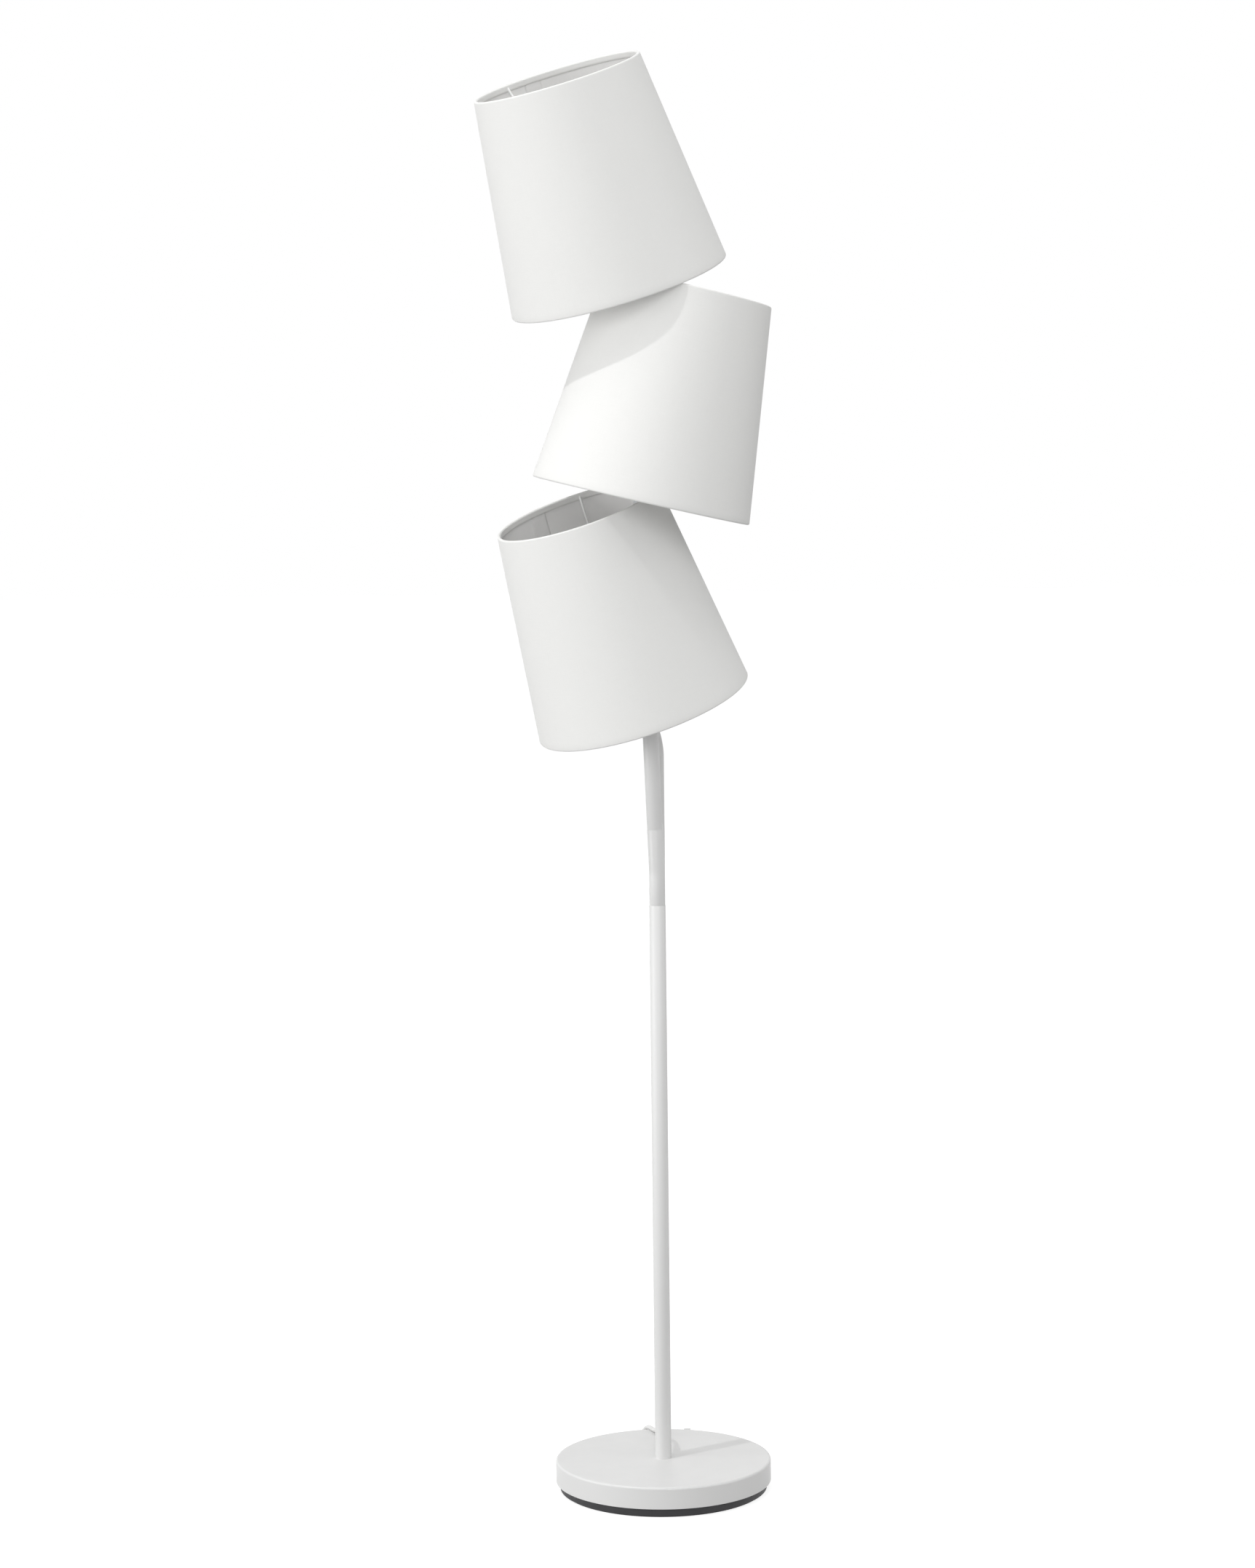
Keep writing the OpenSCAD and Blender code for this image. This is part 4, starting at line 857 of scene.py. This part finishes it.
class LAMP_OT_stage(bpy.types.Operator):
    """Set the camera, floor, world and lights."""

    bl_idname = "lamp.stage"
    bl_label = "Stage"

    def execute(self, context):
        stage = settings().stage
        self.camera(context, stage)
        self.floor(stage)
        self.world(context, stage)
        self.light(*KEY_LIGHT, stage.key_power)
        for *place, part in SOFT_LIGHTS:
            self.light(*place, stage.soft_power * part)
        context.scene.view_settings.view_transform = "Standard"
        return {"FINISHED"}

    def camera(self, context, stage):
        """The camera's right, forward and up axes are the world's, turned by roll, then pitch, then yaw."""
        yaw, pitch, roll = (math.radians(a) for a in CAMERA_TURN)
        turn = Matrix.Rotation(yaw, 3, "Z") @ Matrix.Rotation(pitch, 3, "X") @ Matrix.Rotation(roll, 3, "Y")
        right, ahead, up = turn.col[0], turn.col[1], turn.col[2]
        data = bpy.data.cameras.new("Photo camera")
        data.lens, data.sensor_width, data.sensor_fit = stage.lens, SENSOR_WIDTH, "AUTO"
        data.clip_start, data.clip_end = 0.05, 200.0
        camera = bpy.data.objects.new("Photo camera", data)
        axes = Matrix((right, up, -ahead)).transposed().to_4x4()
        camera.matrix_world = Matrix.Translation(CAMERA_PLACE) @ axes
        context.scene.collection.objects.link(camera)
        context.scene.camera = camera

    def floor(self, stage):
        """A pale floor that glows only to the camera and in gloss: it reads white and keeps its shadows."""
        edge = np.array([-FLOOR_HALF, FLOOR_HALF])
        x, y = np.meshgrid(edge, edge, indexing="ij")
        floor = grid_object("floor", np.stack([x, y, np.zeros_like(x)], axis=-1))
        finish = Finish("Pale floor", (0.4, 0.4, 0.4), 0.9, Specular_IOR_Level=0.1)
        finish.tint(finish.noise(3.0), 0.99, 1.0)
        light = finish.node("LightPath")
        seen = finish.math("MAXIMUM", light.outputs["Is Camera Ray"], light.outputs["Is Glossy Ray"])
        glow = finish.math("MULTIPLY", seen, stage.floor_glow)
        finish.tree.links.new(glow, finish.shader.inputs["Emission Strength"])
        finish.set(Emission_Color=(1.0, 1.0, 1.0, 1.0))
        floor.data.materials.append(finish.material)

    def world(self, context, stage):
        """White where the camera, gloss or glass looks at it, and a weaker even light elsewhere."""
        world = bpy.data.worlds.new("White room")
        world.use_nodes = True
        tree = world.node_tree
        back = tree.nodes["Background"]
        back.inputs["Color"].default_value = (1, 1, 1, 1)
        path = tree.nodes.new("ShaderNodeLightPath")
        seen = path.outputs["Is Camera Ray"]
        for name in ("Is Glossy Ray", "Is Transmission Ray"):
            either = tree.nodes.new("ShaderNodeMath")
            either.operation = "MAXIMUM"
            tree.links.new(seen, either.inputs[0])
            tree.links.new(path.outputs[name], either.inputs[1])
            seen = either.outputs[0]
        strength = tree.nodes.new("ShaderNodeMapRange")
        strength.inputs["To Min"].default_value = stage.fill
        strength.inputs["To Max"].default_value = 1.0
        tree.links.new(seen, strength.inputs["Value"])
        tree.links.new(strength.outputs[0], back.inputs["Strength"])
        context.scene.world = world

    def light(self, name, azimuth, elevation, distance, size, power):
        """A round light at an angle from +X, an elevation and a distance from the aim, turned back to it."""
        turn, rise = math.radians(azimuth), math.radians(elevation)
        away = Vector((math.cos(rise) * math.cos(turn), math.cos(rise) * math.sin(turn), math.sin(rise)))
        data = bpy.data.lights.new(name, "AREA")
        data.shape, data.size, data.energy = "DISK", size, power
        lamp = bpy.data.objects.new(name, data)
        place = Matrix.Translation(Vector(LIGHT_AIM) + away * distance)
        lamp.matrix_world = place @ (-away).to_track_quat("-Z", "Y").to_matrix().to_4x4()
        bpy.context.scene.collection.objects.link(lamp)


class LAMP_PT_panel(bpy.types.Panel):
    """Lists the lamp's settings and its operators."""

    bl_idname = "LAMP_PT_panel"
    bl_label = "Floor lamp"
    bl_space_type = "VIEW_3D"
    bl_region_type = "UI"
    bl_category = "Floor lamp"

    def draw(self, context):
        group = context.scene.floor_lamp
        for name in ("shade", "holder", "cord", "finish", "stage"):
            box = self.layout.box()
            part = getattr(group, name)
            for key in part.bl_rna.properties.keys():
                if key not in ("rna_type", "name"):
                    box.prop(part, key)
        for operator in OPERATORS:
            self.layout.operator(operator.bl_idname)


OPERATORS = (
    LAMP_OT_stage, LAMP_OT_switch_and_plug, LAMP_OT_cords, LAMP_OT_shades, LAMP_OT_holders, LAMP_OT_bulbs,
    LAMP_OT_tubes, LAMP_OT_base,
)
GROUPS = (ShadeSizes, HolderSizes, CordSizes, Finishes, StageSettings, LampSettings)


def register():
    """Registers the settings, operators and panel, and puts the settings on the scene."""
    for cls in (*GROUPS, *OPERATORS, LAMP_PT_panel):
        bpy.utils.register_class(cls)
    bpy.types.Scene.floor_lamp = bpy.props.PointerProperty(type=LampSettings)


def unregister():
    """Takes the settings off the scene and unregisters everything."""
    del bpy.types.Scene.floor_lamp
    for cls in reversed((*GROUPS, *OPERATORS, LAMP_PT_panel)):
        bpy.utils.unregister_class(cls)


def main():
    """Builds the scene by its operators in order."""
    register()
    for operator in OPERATORS:
        getattr(bpy.ops.lamp, operator.bl_idname.split(".")[1])()


if __name__ == "__main__":
    main()
